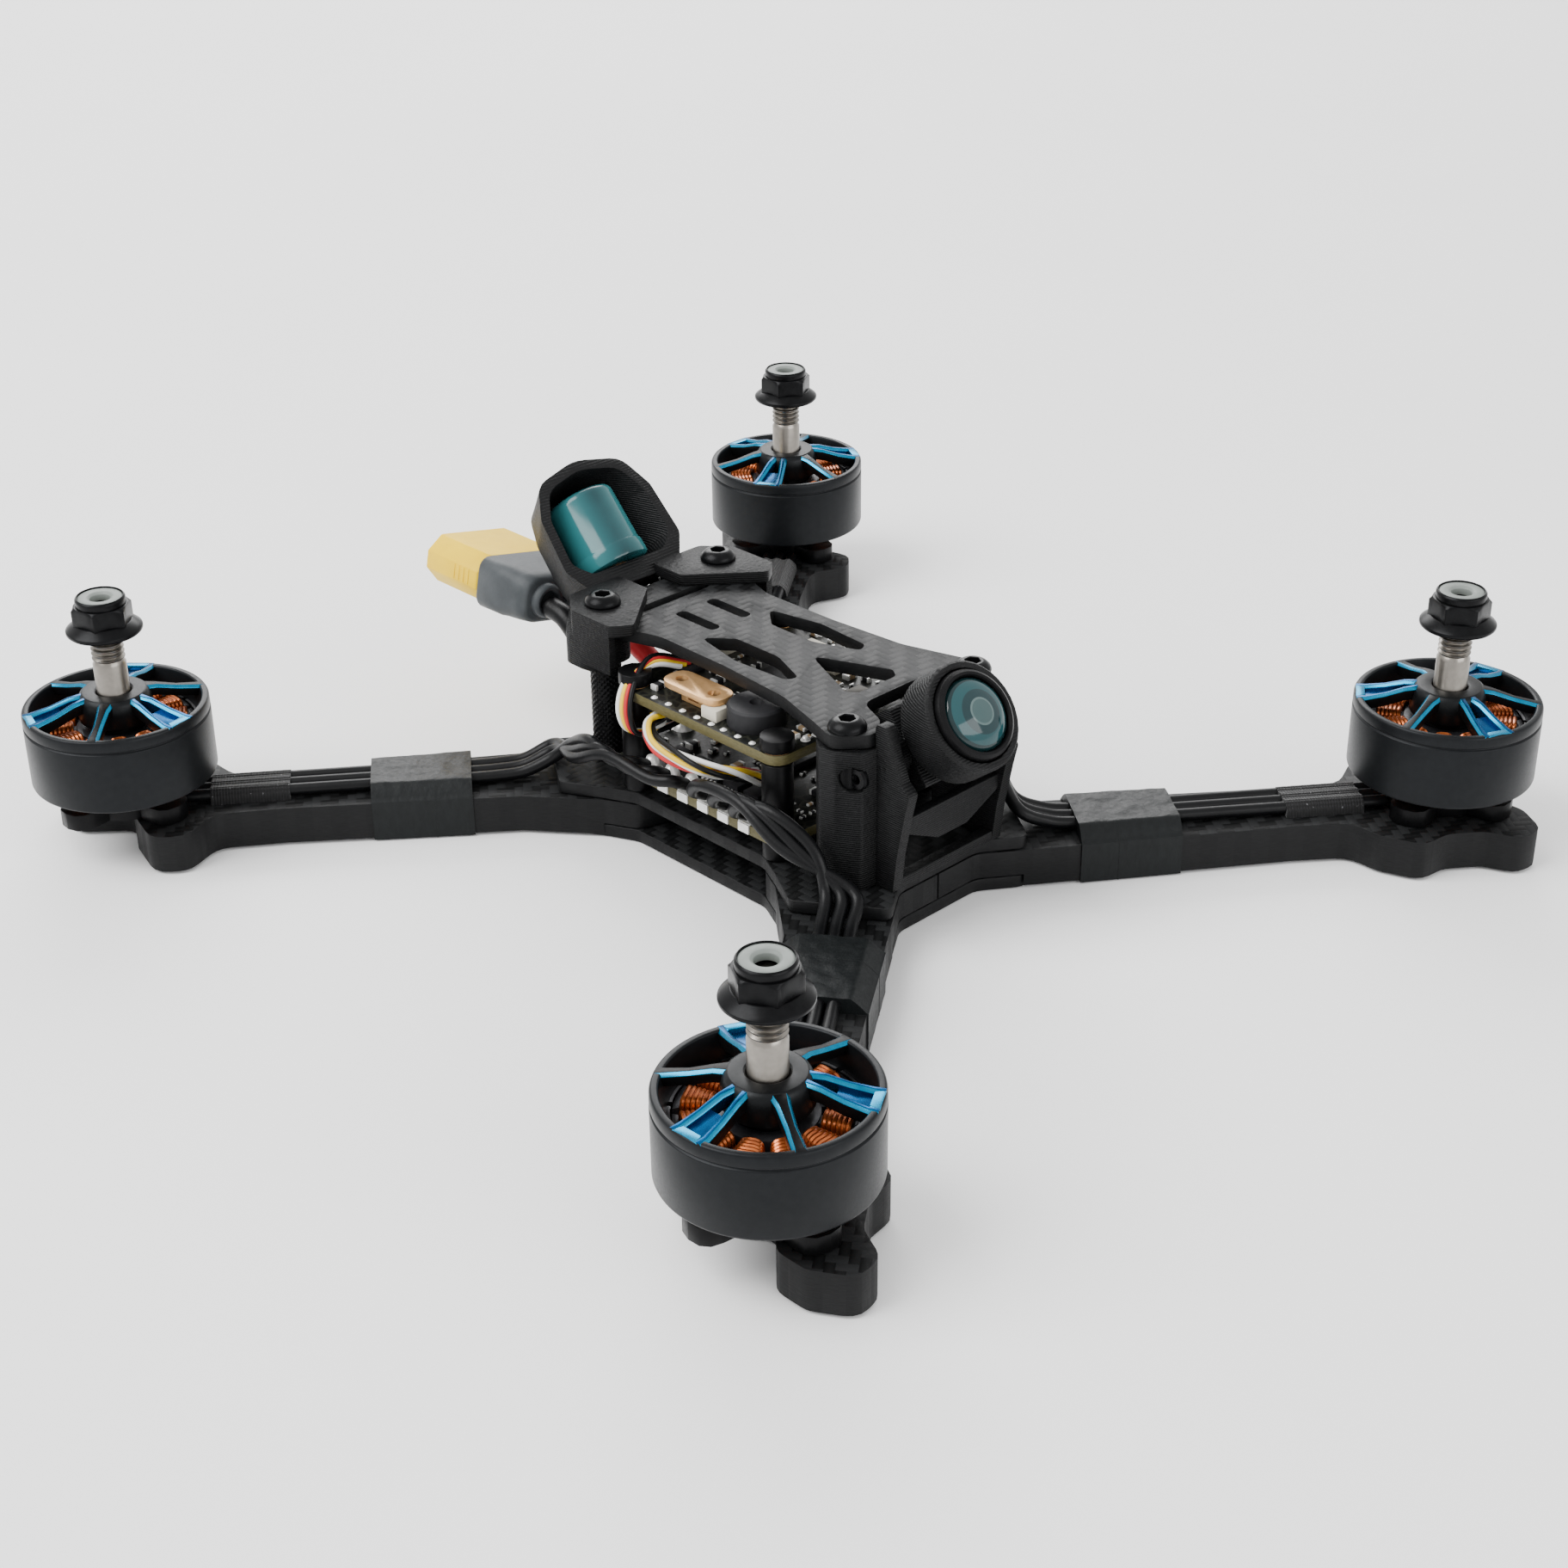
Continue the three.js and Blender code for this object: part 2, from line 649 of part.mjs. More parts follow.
// ---- camera --------------------------------------------------------------------------------
// A printed cage sleeves the front standoffs: two cheeks with bosses for the camera's pins,
// a chin bar, a shield above it below the lens, and a tie at the back.
function buildCage() {
  const [, pivotY, pivotZ] = CAMERA_PIVOT;
  const cheek = rounded([
    [-22.5, STANDOFF_BOTTOM],
    [-34.6, STANDOFF_BOTTOM],
    [-35.3, 14.8, 3],
    [-36.6, 21.4, 2],
    [-37.5, 25.2, 0.6],
    [-35.9, 26.6, 1],
    [-34.4, 30.4, 3],
    [-33.2, 34.4, 1],
    [-31, 34.4, 0.8],
    [-31, STANDOFF_TOP],
    [-22.5, STANDOFF_TOP],
  ]);
  const sleeve = [
    [17, -25.3, 1],
    [16.3, -27.6, 1.5],
    [14.2, -30.9, 1],
    [10.4, -31.4, 0.5],
    [10.4, -22.5],
    [14.8, -22.5, 2],
  ];
  const shield = new THREE.Shape([
    new THREE.Vector2(-9.8, 20.2),
    new THREE.Vector2(-9.8, 18),
    new THREE.Vector2(-3, 14.8),
    new THREE.Vector2(3, 14.8),
    new THREE.Vector2(9.8, 18),
    new THREE.Vector2(9.8, 20.2),
  ]);
  const solids = [
    block([-9.8, -34.6, STANDOFF_BOTTOM], [9.8, -32.8, 10.4]),
    block([-9.8, -24.4, STANDOFF_BOTTOM], [9.8, -22.5, 10.8]),
    slab(shield, 0, 1.6).rotateX(Math.PI / 2).translate(0, -33.8, 0),
  ];
  const holes = [];
  for (const [near, far] of [[9.65, 11.5], [-11.5, -9.65]]) {
    solids.push(sideways(cheek, near, far));
  }
  for (const sx of [1, -1]) {
    const [x, y] = FRONT_STANDOFF;
    const inner = Math.min(sx * 6.5, sx * 9.8);
    solids.push(slab(rounded(mirrored(sleeve, sx, 1)), STANDOFF_BOTTOM, STANDOFF_LENGTH, 3));
    solids.push(crossbar(pivotY, pivotZ, 3, inner, inner + 3.3));
    holes.push(cylinder(sx * x, y, STANDOFF_RADIUS + GAP, 0, 40, 16));
    holes.push(crossbar(pivotY + 0.4, pivotZ - 1.4, 2, sx * 16.2 - 2.4, sx * 16.2 + 2.4));
  }
  holes.push(crossbar(pivotY, pivotZ, 1.3, -9.4, 9.4));
  const cage = solids.slice(1).reduce((sum, piece) => sum.add(solidOf(piece)), solidOf(solids[0]));
  const open = holes.reduce((rest, hole) => rest.subtract(solidOf(hole)), cage);
  place('camera_cage', geometryOf(open), printed);
}

// The camera is drawn looking along +Z about its pivot, then tipped to its tilt.
function buildCamera() {
  const camera = new THREE.Group();
  camera.position.set(...CAMERA_PIVOT);
  camera.rotation.x = Math.PI / 2 - CAMERA_TILT;
  group.add(camera);
  const side = rounded([
    [CAMERA_HALF, 2.3, 0.6],
    [CAMERA_HALF, -1.8, 1],
    [CAMERA_HALF - 1.9, -7.5, 1],
    [-CAMERA_HALF, -7.5, 1],
    [-CAMERA_HALF, 2.3, 0.6],
  ]);
  const housing = sideways(side, -CAMERA_HALF, CAMERA_HALF);
  const neck = CAMERA_HALF + 0.1;
  const hood = turned([
    [5.9, 1.6],
    [neck, 1.6],
    [neck, 3.4],
    [HOOD_RADIUS, 4.8],
    [HOOD_RADIUS, 10.4],
    [HOOD_RADIUS - 0.4, 10.8],
    [LENS_RADIUS + 0.3, 10.8],
    [LENS_RADIUS + 0.3, 5.7],
    [5.9, 5.2],
    [5.9, 1.6],
  ], 32);
  place('camera_body', join(housing, hood, crossbar(0, 0, 1, -9, 9, 12)), printed, camera);
  const barrel = turned([
    [0, 2.55],
    [5.6, 2.55],
    [5.6, 5.6],
    [LENS_RADIUS, 6],
    [LENS_RADIUS, 11.2],
    [6.2, 11.8],
    [5.5, 11.8],
    [5.4, 11.2],
    [4.4, 12],
    [2.4, 12.7],
    [0, 12.9],
  ], 28);
  place('camera_lens', barrel, anodised, camera);
}

// ---- rear antenna mount --------------------------------------------------------------------
// The hoop is drawn flat with its open face up: its walls close in below the face, round the
// capsule, and less so towards the hoop's foot.
function closeIn(geometry, face) {
  const position = geometry.getAttribute('position');
  for (let index = 0; index < position.count; index += 1) {
    const depth = face - position.getZ(index);
    const y = position.getY(index);
    position.setX(index, position.getX(index) * (1 - 0.042 * depth));
    position.setY(index, y > 0 ? y * (1 - 0.01 * depth) : y);
  }
  return geometry;
}

// A printed hoop leans back over the tail. Its feet clamp the rear standoffs, and its caps
// cover the rear corners of the top plate.
function buildAntenna() {
  const [x, y] = REAR_STANDOFF;
  const hoopHalf = [
    [8.6, -10.4, 2],
    [11.8, -5.4, 2],
    [11.2, 3.6, 3],
    [8.4, 9.2, 4],
  ];
  const hoopCorners = [...hoopHalf, [0, 11.2, 9], ...mirrored([...hoopHalf].reverse(), -1, 1)];
  const face = 4.4;
  const back = -7.8;
  const floor = -6.2;
  const inset = 1 - 1.7 / 11.4;
  const sill = -7.1;
  const mouth = hoopCorners.map(([hx, hy, radius]) => [hx * inset, Math.max(hy * inset, sill), radius]);
  const outer = closeIn(slab(rounded(hoopCorners), back, face - back, 3), face);
  const inner = closeIn(slab(rounded(mouth), floor, face - floor + 1, 3), face);
  const socket = cylinder(0, 0, 2.5, -12, -6, 16).rotateX(-Math.PI / 2);
  const tip = new THREE.Matrix4().makeRotationX(ANTENNA_TILT).setPosition(...ANTENNA_CENTRE);
  const tipped = (geometry) => solidOf(geometry.applyMatrix4(tip));
  const ring = tipped(outer).subtract(tipped(inner)).subtract(tipped(socket));
  const footBottom = STANDOFF_TOP - 5;
  const foot = [
    [x + 5, y - 3, 2.5],
    [x + 5, y + 3.2, 2.5],
    [9.8, 36.6, 2],
    [5.4, 36.6, 2],
    [x - 3.3, y - 3, 2.5],
  ];
  const cap = [
    [3.5, 25.4, 0.8],
    [14, 16.6, 1],
    [17, 18.8, 1],
    [17, 27.6, 1],
    [13.5, 32, 1.5],
    [3.5, 32, 0.8],
  ];
  // The skirt joins foot and cap round the outside of the plate's corner.
  const skirt = [
    [15.8, 19],
    [17, 19],
    [17, 27.6, 1],
    [13.5, 32, 1.5],
    [5, 32],
    [5, 30],
    [12.8, 30],
    [15.8, 26.4],
  ];
  const capBottom = TOP_TOP + 0.15;
  const corners = [1, -1].flatMap((sx) => [
    slab(rounded(mirrored(foot, sx, 1)), footBottom, 5, 3),
    slab(rounded(mirrored(cap, sx, 1)), capBottom, CAP_TOP - capBottom, 3),
    slab(rounded(mirrored(skirt, sx, 1)), footBottom + 1, CAP_TOP - footBottom - 1.5, 3),
  ]);
  const tie = block([-8, 33.2, footBottom], [8, 36.2, footBottom + 3.4]);
  const bores = [1, -1].map((sx) => cylinder(sx * x, y, STANDOFF_RADIUS + GAP, 0, TOP_BOTTOM, 16));
  let mount = ring;
  for (const piece of [...corners, tie]) {
    mount = mount.add(solidOf(piece));
  }
  for (const bore of bores) {
    mount = mount.subtract(solidOf(bore));
  }
  place('antenna_mount', geometryOf(mount), printed);

  // The capsule is turned along +Z, then laid along the hoop's own long way.
  const capsule = turned([
    [0, -8.4],
    [2.2, -8.4],
    [2.2, -6.4],
    [5.6, -6.3],
    [6.1, -5.9],
    [6.1, -3.6],
    [5.8, -3.3],
    [5.8, 5.4],
    [4.9, 6.3],
    [0, 6.5],
  ], 24);
  capsule.rotateX(ANTENNA_TILT - Math.PI / 2).translate(...ANTENNA_CENTRE);
  place('antenna_capsule', capsule, tealShell);
}

// ---- battery pigtail -----------------------------------------------------------------------
// Both wires leave the speed controller's tail pads and rise to the plug behind the drone.
const wireRoute = (side) => [
  [side * 3.5, 19.6, 13.9],
  [side * 3.5, 22.5, 13.9],
  [side * 3.9, 27, 14.4],
  [side * 4.4, 32, 16],
  [side * 4.4 - 0.6, 36.5, 18.8],
  [side * 3.9 - 1.2, 40.5, 22],
  [side * 3.6 - 1.5, 44, 24.6],
  [side * 3.6 - 1.5, 47.6, 25.3],
];

const BOOT_LENGTH = 12;
const poles = [3.6, -3.6];             // the two contacts, either side of the plug's middle

// A plug's section: square at the positive side, cut corners at the other.
const plugOutline = (halfX, halfY) => [
  [halfX, -halfY, 0.8],
  [halfX, halfY, 0.8],
  [3 - halfX, halfY, 0.7],
  [-halfX, halfY * 0.4, 0.7],
  [-halfX, halfY * -0.4, 0.7],
  [3 - halfX, -halfY, 0.7],
];

function buildPigtail() {
  place('power_wire_red', tube(wireRoute(1), WIRE_RADIUS, 14, 8), redSilicone);
  place('power_wire_black', tube(wireRoute(-1), WIRE_RADIUS, 14, 8), silicone);

  // The plug is drawn along +Y from its wire end, then rolled a little about its own axis.
  const plug = new THREE.Group();
  plug.position.set(...PLUG_TAIL);
  plug.rotation.y = PLUG_ROLL;
  group.add(plug);
  const lying = (geometry, start) => geometry.rotateX(-Math.PI / 2).translate(0, start, 0);
  const shell = lying(slab(rounded(plugOutline(8, 4.05)), 0, 13.6, 2), BOOT_LENGTH + 0.4);
  const mouth = lying(slab(rounded(plugOutline(6.7, 2.8)), 0, 9, 2), BOOT_LENGTH + 5.2);
  const pins = poles.map((x) => lying(cylinder(x, 0, 1.7, 0, 7.4, 12), BOOT_LENGTH + 4.8));
  let body = solidOf(shell).subtract(solidOf(mouth));
  for (const pin of pins) {
    body = body.add(solidOf(pin));
  }
  place('power_plug', geometryOf(body), yellowNylon, plug);

  const bootCorners = [[8.3, -4.3, 2.5], [8.3, 4.3, 2.5], [-8.3, 4.3, 2.5], [-8.3, -4.3, 2.5]];
  const boot = lying(slab(rounded(bootCorners), 0, BOOT_LENGTH, 3), 0.2);
  const sockets = poles.map((x) => lying(cylinder(x, 0, WIRE_RADIUS + 0.35, -1, 3, 12), 0));
  place('plug_boot', cut(boot, ...sockets), greySleeve, plug);
}

// ---- assembly ------------------------------------------------------------------------------
buildLowerPlates();
buildTopPlate();
quarters.forEach(buildArm);
buildFasteners();
quarters.forEach(buildMotor);
quarters.forEach(buildLeads);
quarters.forEach(buildWrap);
buildStack();
buildHarness();
buildCage();
buildCamera();
buildAntenna();
buildPigtail();

export default group;
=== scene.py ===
"""Looks of a racing quadcopter: woven carbon, printed cages, wound motors, boards, leads and plug."""

import json
import math
import random

import bmesh
import bpy
from mathutils import Matrix, Vector, noise


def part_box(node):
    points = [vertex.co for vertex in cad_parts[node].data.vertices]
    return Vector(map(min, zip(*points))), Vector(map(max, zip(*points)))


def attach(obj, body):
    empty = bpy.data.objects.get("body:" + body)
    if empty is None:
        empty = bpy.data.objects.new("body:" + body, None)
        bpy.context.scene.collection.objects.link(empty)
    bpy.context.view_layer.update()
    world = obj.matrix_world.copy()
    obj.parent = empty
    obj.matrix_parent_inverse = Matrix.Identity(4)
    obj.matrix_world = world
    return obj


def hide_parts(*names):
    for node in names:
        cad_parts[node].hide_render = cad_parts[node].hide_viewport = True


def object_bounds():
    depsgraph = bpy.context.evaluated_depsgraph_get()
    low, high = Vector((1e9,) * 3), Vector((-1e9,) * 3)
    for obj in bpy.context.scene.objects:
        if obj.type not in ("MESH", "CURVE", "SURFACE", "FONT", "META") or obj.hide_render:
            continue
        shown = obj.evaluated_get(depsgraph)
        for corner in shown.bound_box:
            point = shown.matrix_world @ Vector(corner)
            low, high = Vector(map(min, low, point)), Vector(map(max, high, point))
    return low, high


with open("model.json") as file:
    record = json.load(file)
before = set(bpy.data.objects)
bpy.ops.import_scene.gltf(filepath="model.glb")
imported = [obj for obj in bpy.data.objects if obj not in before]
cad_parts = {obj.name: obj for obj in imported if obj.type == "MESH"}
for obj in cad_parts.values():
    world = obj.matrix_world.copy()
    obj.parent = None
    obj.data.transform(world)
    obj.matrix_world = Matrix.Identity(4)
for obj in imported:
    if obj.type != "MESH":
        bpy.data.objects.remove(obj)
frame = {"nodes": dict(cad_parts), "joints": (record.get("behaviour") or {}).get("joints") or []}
cad_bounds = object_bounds()

MM = 0.001
TAU = math.tau
QUARTERS = {"front_left": (1, -1), "front_right": (-1, -1), "rear_left": (1, 1), "rear_right": (-1, 1)}


def span(node):
    """Lowest and highest corner of a CAD node in millimetres."""
    low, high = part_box(node)
    return low / MM, high / MM


def middle(node):
    low, high = span(node)
    return (low + high) / 2


# ---- camera ----------------------------------------------------------------------------------
VIEW_AZIMUTH = math.radians(-44.06)
VIEW_ELEVATION = math.radians(28.29)
VIEW_ROLL = math.radians(-0.63)
VIEW_FROM = Vector((-236.6, -245.3, 192.3))


def add_camera():
    data = bpy.data.cameras.new("view")
    data.lens = 57.94
    data.sensor_width = 36
    camera = bpy.data.objects.new("view", data)
    bpy.context.scene.collection.objects.link(camera)
    turn = Matrix.Rotation(VIEW_AZIMUTH, 4, "Z")
    tip = Matrix.Rotation(math.pi / 2 - VIEW_ELEVATION, 4, "X")
    roll = Matrix.Rotation(VIEW_ROLL, 4, "Z")
    camera.matrix_world = Matrix.Translation(VIEW_FROM * MM) @ turn @ tip @ roll
    bpy.context.scene.camera = camera


add_camera()


# ---- building meshes -------------------------------------------------------------------------
def through(points, steps):
    """Points along a smooth centripetal curve through the given ones, steps to a stretch."""
    points = [Vector(p) for p in points]
    padded = [points[0] * 2 - points[1], *points, points[-1] * 2 - points[-2]]
    path = []
    for p0, p1, p2, p3 in zip(padded, padded[1:], padded[2:], padded[3:]):
        d0, d1, d2 = (math.sqrt((b - a).length) for a, b in ((p0, p1), (p1, p2), (p2, p3)))
        start = ((p1 - p0) / d0 - (p2 - p0) / (d0 + d1) + (p2 - p1) / d1) * d1
        end = ((p2 - p1) / d1 - (p3 - p1) / (d1 + d2) + (p3 - p2) / d2) * d1
        for step in range(steps):
            t = step / steps
            hermite = (2 * t**3 - 3 * t**2 + 1, t**3 - 2 * t**2 + t, -2 * t**3 + 3 * t**2, t**3 - t**2)
            path.append(p1 * hermite[0] + start * hermite[1] + p2 * hermite[2] + end * hermite[3])
    return [*path, points[-1]]


def frames_along(path):
    """A side and an up direction at each point of a path, carried along without twisting."""
    side = Vector((0, 0, 1)).cross(path[1] - path[0])
    side = side.normalized() if side.length > 1e-6 else Vector((1, 0, 0))
    frames = []
    for index, point in enumerate(path):
        ahead = path[min(index + 1, len(path) - 1)] - path[max(index - 1, 0)]
        ahead.normalize()
        side = (side - ahead * side.dot(ahead)).normalized()
        frames.append((point, side, ahead.cross(side)))
    return frames


def ring_points(radius, height, segments):
    angles = [TAU * k / segments for k in range(segments)]
    return [Vector((radius * math.cos(a), radius * math.sin(a), height)) for a in angles]


def hexagon_radius(angle, flats):
    """Distance from the centre to a hexagon's edge, where flats is the size across its flats."""
    return flats / 2 / math.cos((angle % (TAU / 6)) - TAU / 12)


def rounded_outline(half_x, half_y, radius, steps=5):
    corners = [(half_x, half_y, 0), (-half_x, half_y, 1), (-half_x, -half_y, 2), (half_x, -half_y, 3)]
    outline = []
    for x, y, quarter in corners:
        centre = Vector((x - math.copysign(radius, x), y - math.copysign(radius, y), 0))
        for step in range(steps + 1):
            angle = TAU / 4 * (quarter + step / steps)
            outline.append(centre + Vector((math.cos(angle), math.sin(angle), 0)) * radius)
    return outline


class Sculpt:
    """Collects closed shapes, drawn in millimetres, into one mesh."""

    def __init__(self):
        self.mesh = bmesh.new()
        self.materials = []

    def index_of(self, material):
        if material not in self.materials:
            self.materials.append(material)
        return self.materials.index(material)

    def loft(self, rings, material, place=Matrix(), caps=True, strips=None):
        """Joins rings of points; strips gives some of the side strips another material."""
        rows = [[self.mesh.verts.new(place @ Vector(p)) for p in ring] for ring in rings]
        main = self.index_of(material)
        count = len(rows[0])
        for low, high in zip(rows, rows[1:]):
            for k in range(count):
                face = self.mesh.faces.new((low[k], low[k - count + 1], high[k - count + 1], high[k]))
                other = (strips or {}).get(k)
                face.material_index = main if other is None else self.index_of(other)
        if caps:
            for row in (rows[0][::-1], rows[-1]):
                self.mesh.faces.new(row).material_index = main
        return self

    def lathe(self, profile, material, place=Matrix(), segments=64):
        rings = [ring_points(radius, height, segments) for radius, height in profile]
        return self.loft(rings, material, place, caps=False)

    def prism(self, outline, bottom, top, material, place=Matrix()):
        rings = [[Vector((p[0], p[1], height)) for p in outline] for height in (bottom, top)]
        return self.loft(rings, material, place)

    def block(self, centre, size, material, turn=0.0):
        half = Vector(size) / 2
        outline = [(half.x, half.y), (-half.x, half.y), (-half.x, -half.y), (half.x, -half.y)]
        place = Matrix.Translation(Vector(centre)) @ Matrix.Rotation(turn, 4, "Z")
        return self.prism(outline, -half.z, half.z, material, place)

    def tube(self, path, radius, material, sides):
        rings = []
        for point, side, up in frames_along(path):
            angles = [TAU * k / sides for k in range(sides)]
            rings.append([point + (side * math.cos(a) + up * math.sin(a)) * radius for a in angles])
        return self.loft(rings, material)

    def hoop(self, path, radius, material, sides=8, place=Matrix()):
        """A tube along a closed path that lies in one plane."""
        middle_point = sum(path, Vector()) / len(path)
        normal = (path[0] - middle_point).cross(path[1] - middle_point).normalized()
        rings = []
        for k, point in enumerate(path):
            ahead = path[(k + 1) % len(path)] - path[k - 1]
            side = ahead.normalized().cross(normal)
            angles = [TAU * j / sides for j in range(sides)]
            rings.append([point + (side * math.cos(a) + normal * math.sin(a)) * radius for a in angles])
        return self.loft([*rings, rings[0]], material, place, caps=False)

    def piece(self, name, body, slot, replaces=(), bevel=0.0, crease=35):
        """Turns what was collected into a piece that rides on a body."""
        bmesh.ops.remove_doubles(self.mesh, verts=self.mesh.verts, dist=1e-4)
        bmesh.ops.recalc_face_normals(self.mesh, faces=self.mesh.faces)
        bmesh.ops.scale(self.mesh, vec=(MM, MM, MM), verts=self.mesh.verts)
        data = bpy.data.meshes.new(name)
        self.mesh.to_mesh(data)
        self.mesh.free()
        for material in self.materials:
            data.materials.append(material)
        return settle(name, data, body, replaces, bevel, crease)


def settle(name, data, body, replaces=(), bevel=0.0, crease=35):
    """Links a mesh as a piece, rounds its edges and ties it to its body."""
    piece = bpy.data.objects.new(name, data)
    bpy.context.scene.collection.objects.link(piece)
    if bevel:
        edge = piece.modifiers.new("edge", "BEVEL")
        edge.width = bevel * MM
        edge.segments = 2
        edge.angle_limit = math.radians(crease)
        edge.use_clamp_overlap = True
        bpy.context.view_layer.update()
        ready = piece.evaluated_get(bpy.context.evaluated_depsgraph_get())
        piece.data = bpy.data.meshes.new_from_object(ready)
        piece.modifiers.clear()
    piece.data.name = name
    piece.data.polygons.foreach_set("use_smooth", [True] * len(piece.data.polygons))
    piece.data.set_sharp_from_angle(angle=math.radians(crease))
    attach(piece, body)
    if replaces:
        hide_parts(*replaces)
    return piece


def refined(node, material, bevel, body="airframe"):
    """A copy of a CAD node with clean flat faces and softened edges stands for that node."""
    work = bmesh.new()
    work.from_mesh(frame["nodes"][node].data)
    bmesh.ops.remove_doubles(work, verts=work.verts, dist=1e-6)
    bmesh.ops.dissolve_limit(work, angle_limit=math.radians(1), verts=work.verts, edges=work.edges)
    data = bpy.data.meshes.new(f"{node}_surface")
    work.to_mesh(data)
    work.free()
    data.materials.append(material)
    for polygon in data.polygons:
        polygon.material_index = 0
    return settle(f"{node}_surface", data, body, (node,), bevel)


# ---- materials -------------------------------------------------------------------------------
class Surface:
    """A Principled material whose nodes work in millimetres on the object's own coordinates."""

    def __init__(self, name, colour, roughness=0.5, metallic=0.0, **sockets):
        self.material = bpy.data.materials.new(name)
        self.material.use_nodes = True
        self.tree = self.material.node_tree
        self.shader = self.tree.nodes["Principled BSDF"]
        self.material.diffuse_color = (*colour, 1)
        self.set("Base Color", (*colour, 1))
        self.set("Roughness", roughness)
        self.set("Metallic", metallic)
        self.set("Specular IOR Level", 0.16)
        for socket, value in sockets.items():
            self.set(socket.replace("_", " "), value)
        place = self.add("ShaderNodeTexCoord").outputs["Object"]
        scale = self.add("ShaderNodeVectorMath", operation="SCALE")
        self.tree.links.new(place, scale.inputs[0])
        scale.inputs["Scale"].default_value = 1 / MM
        self.place = scale.outputs[0]

    def set(self, socket, value):
        """Gives a shader socket a constant, or a link when the value is another node's output."""
        target = self.shader.inputs[socket]
        if isinstance(value, bpy.types.NodeSocket):
            self.tree.links.new(value, target)
        else:
            target.default_value = value

    def add(self, kind, **settings):
        node = self.tree.nodes.new(kind)
        for key, value in settings.items():
            setattr(node, key, value)
        return node

    def feed(self, node, *values):
        for target, value in zip(node.inputs, values):
            if isinstance(value, bpy.types.NodeSocket):
                self.tree.links.new(value, target)
            else:
                target.default_value = value
        return node.outputs[0]

    def math(self, operation, *values):
        return self.feed(self.add("ShaderNodeMath", operation=operation), *values)

    def axes(self, vector=None):
        split = self.add("ShaderNodeSeparateXYZ")
        self.tree.links.new(vector or self.place, split.inputs[0])
        return split.outputs

    def stretched(self, x, y, z):
        node = self.add("ShaderNodeVectorMath", operation="MULTIPLY")
        return self.feed(node, self.place, (x, y, z))

    def noise(self, scale, detail=3.0, vector=None):
        node = self.add("ShaderNodeTexNoise")
        self.tree.links.new(vector or self.place, node.inputs["Vector"])
        node.inputs["Scale"].default_value = scale
        node.inputs["Detail"].default_value = detail
        return node.outputs["Fac"]

    def between(self, factor, low, high):
        """A number that goes from low to high with the factor."""
        node = self.add("ShaderNodeMapRange")
        return self.feed(node, factor, 0.0, 1.0, low, high)

    def mix(self, factor, first, second):
        node = self.add("ShaderNodeMix", data_type="RGBA")
        for index, value in ((0, factor), (6, first), (7, second)):
            if isinstance(value, bpy.types.NodeSocket):
                self.tree.links.new(value, node.inputs[index])
            else:
                node.inputs[index].default_value = value if index == 0 else (*value, 1)
        return node.outputs[2]

    def upward(self):
        """1 on faces that look up or down, 0 on standing faces."""
        normal = self.add("ShaderNodeNewGeometry").outputs["Normal"]
        return self.math("GREATER_THAN", self.math("ABSOLUTE", self.axes(normal)[2]), 0.75)

    def bump(self, height, depth, strength):
        """Raises the surface by height times depth millimetres."""
        node = self.add("ShaderNodeBump")
        node.inputs["Strength"].default_value = strength
        node.inputs["Distance"].default_value = depth * MM
        self.tree.links.new(height, node.inputs["Height"])
        self.set("Normal", node.outputs[0])


def carbon(name, turn_degrees=0.0):
    """Two by two twill on the faces, cut laminate on the edges."""
    s = Surface(name, (0.02, 0.021, 0.022), 0.45)
    turn = s.add("ShaderNodeVectorRotate", rotation_type="Z_AXIS")
    s.tree.links.new(s.place, turn.inputs["Vector"])
    turn.inputs["Angle"].default_value = math.radians(turn_degrees)
    x, y = s.axes(turn.outputs[0])[:2]
    tow = 1.35
    u = s.math("DIVIDE", x, tow)
    v = s.math("DIVIDE", y, tow)
    step = s.math("SUBTRACT", s.math("FLOOR", u), s.math("FLOOR", v))
    over = s.math("LESS_THAN", s.math("FLOORED_MODULO", step, 4.0), 1.5)
    crown_u = s.math("SINE", s.math("MULTIPLY", s.math("FRACT", u), math.pi))
    crown_v = s.math("SINE", s.math("MULTIPLY", s.math("FRACT", v), math.pi))
    lift = s.math("ADD", s.math("MULTIPLY", over, crown_u),
                  s.math("MULTIPLY", s.math("SUBTRACT", 1.0, over), crown_v))
    fibres = s.noise(1.0, 4, s.stretched(9, 1.5, 1))
    face = s.mix(over, (0.0015, 0.0016, 0.0017), (0.0105, 0.011, 0.0115))
    # Painted sheen: the crown of each tow is lighter than its edges.
    face = s.mix(s.math("MULTIPLY", lift, 0.3), face, (0.014, 0.0145, 0.015))
    layers = s.noise(1.0, 3, s.stretched(0.7, 0.7, 7))
    edge = s.mix(layers, (0.0015, 0.0015, 0.0018), (0.008, 0.0083, 0.0087))
    flat = s.upward()
    s.set("Base Color", s.mix(flat, edge, face))
    s.set("Roughness", s.between(s.math("ADD", s.math("MULTIPLY", over, 0.5), fibres), 0.38, 0.56))
    s.bump(s.math("ADD", s.math("MULTIPLY", flat, s.math("ADD", lift, s.math("MULTIPLY", fibres, 0.2))),
                  s.math("MULTIPLY", layers, 0.7)), 0.06, 0.7)
    return s.material


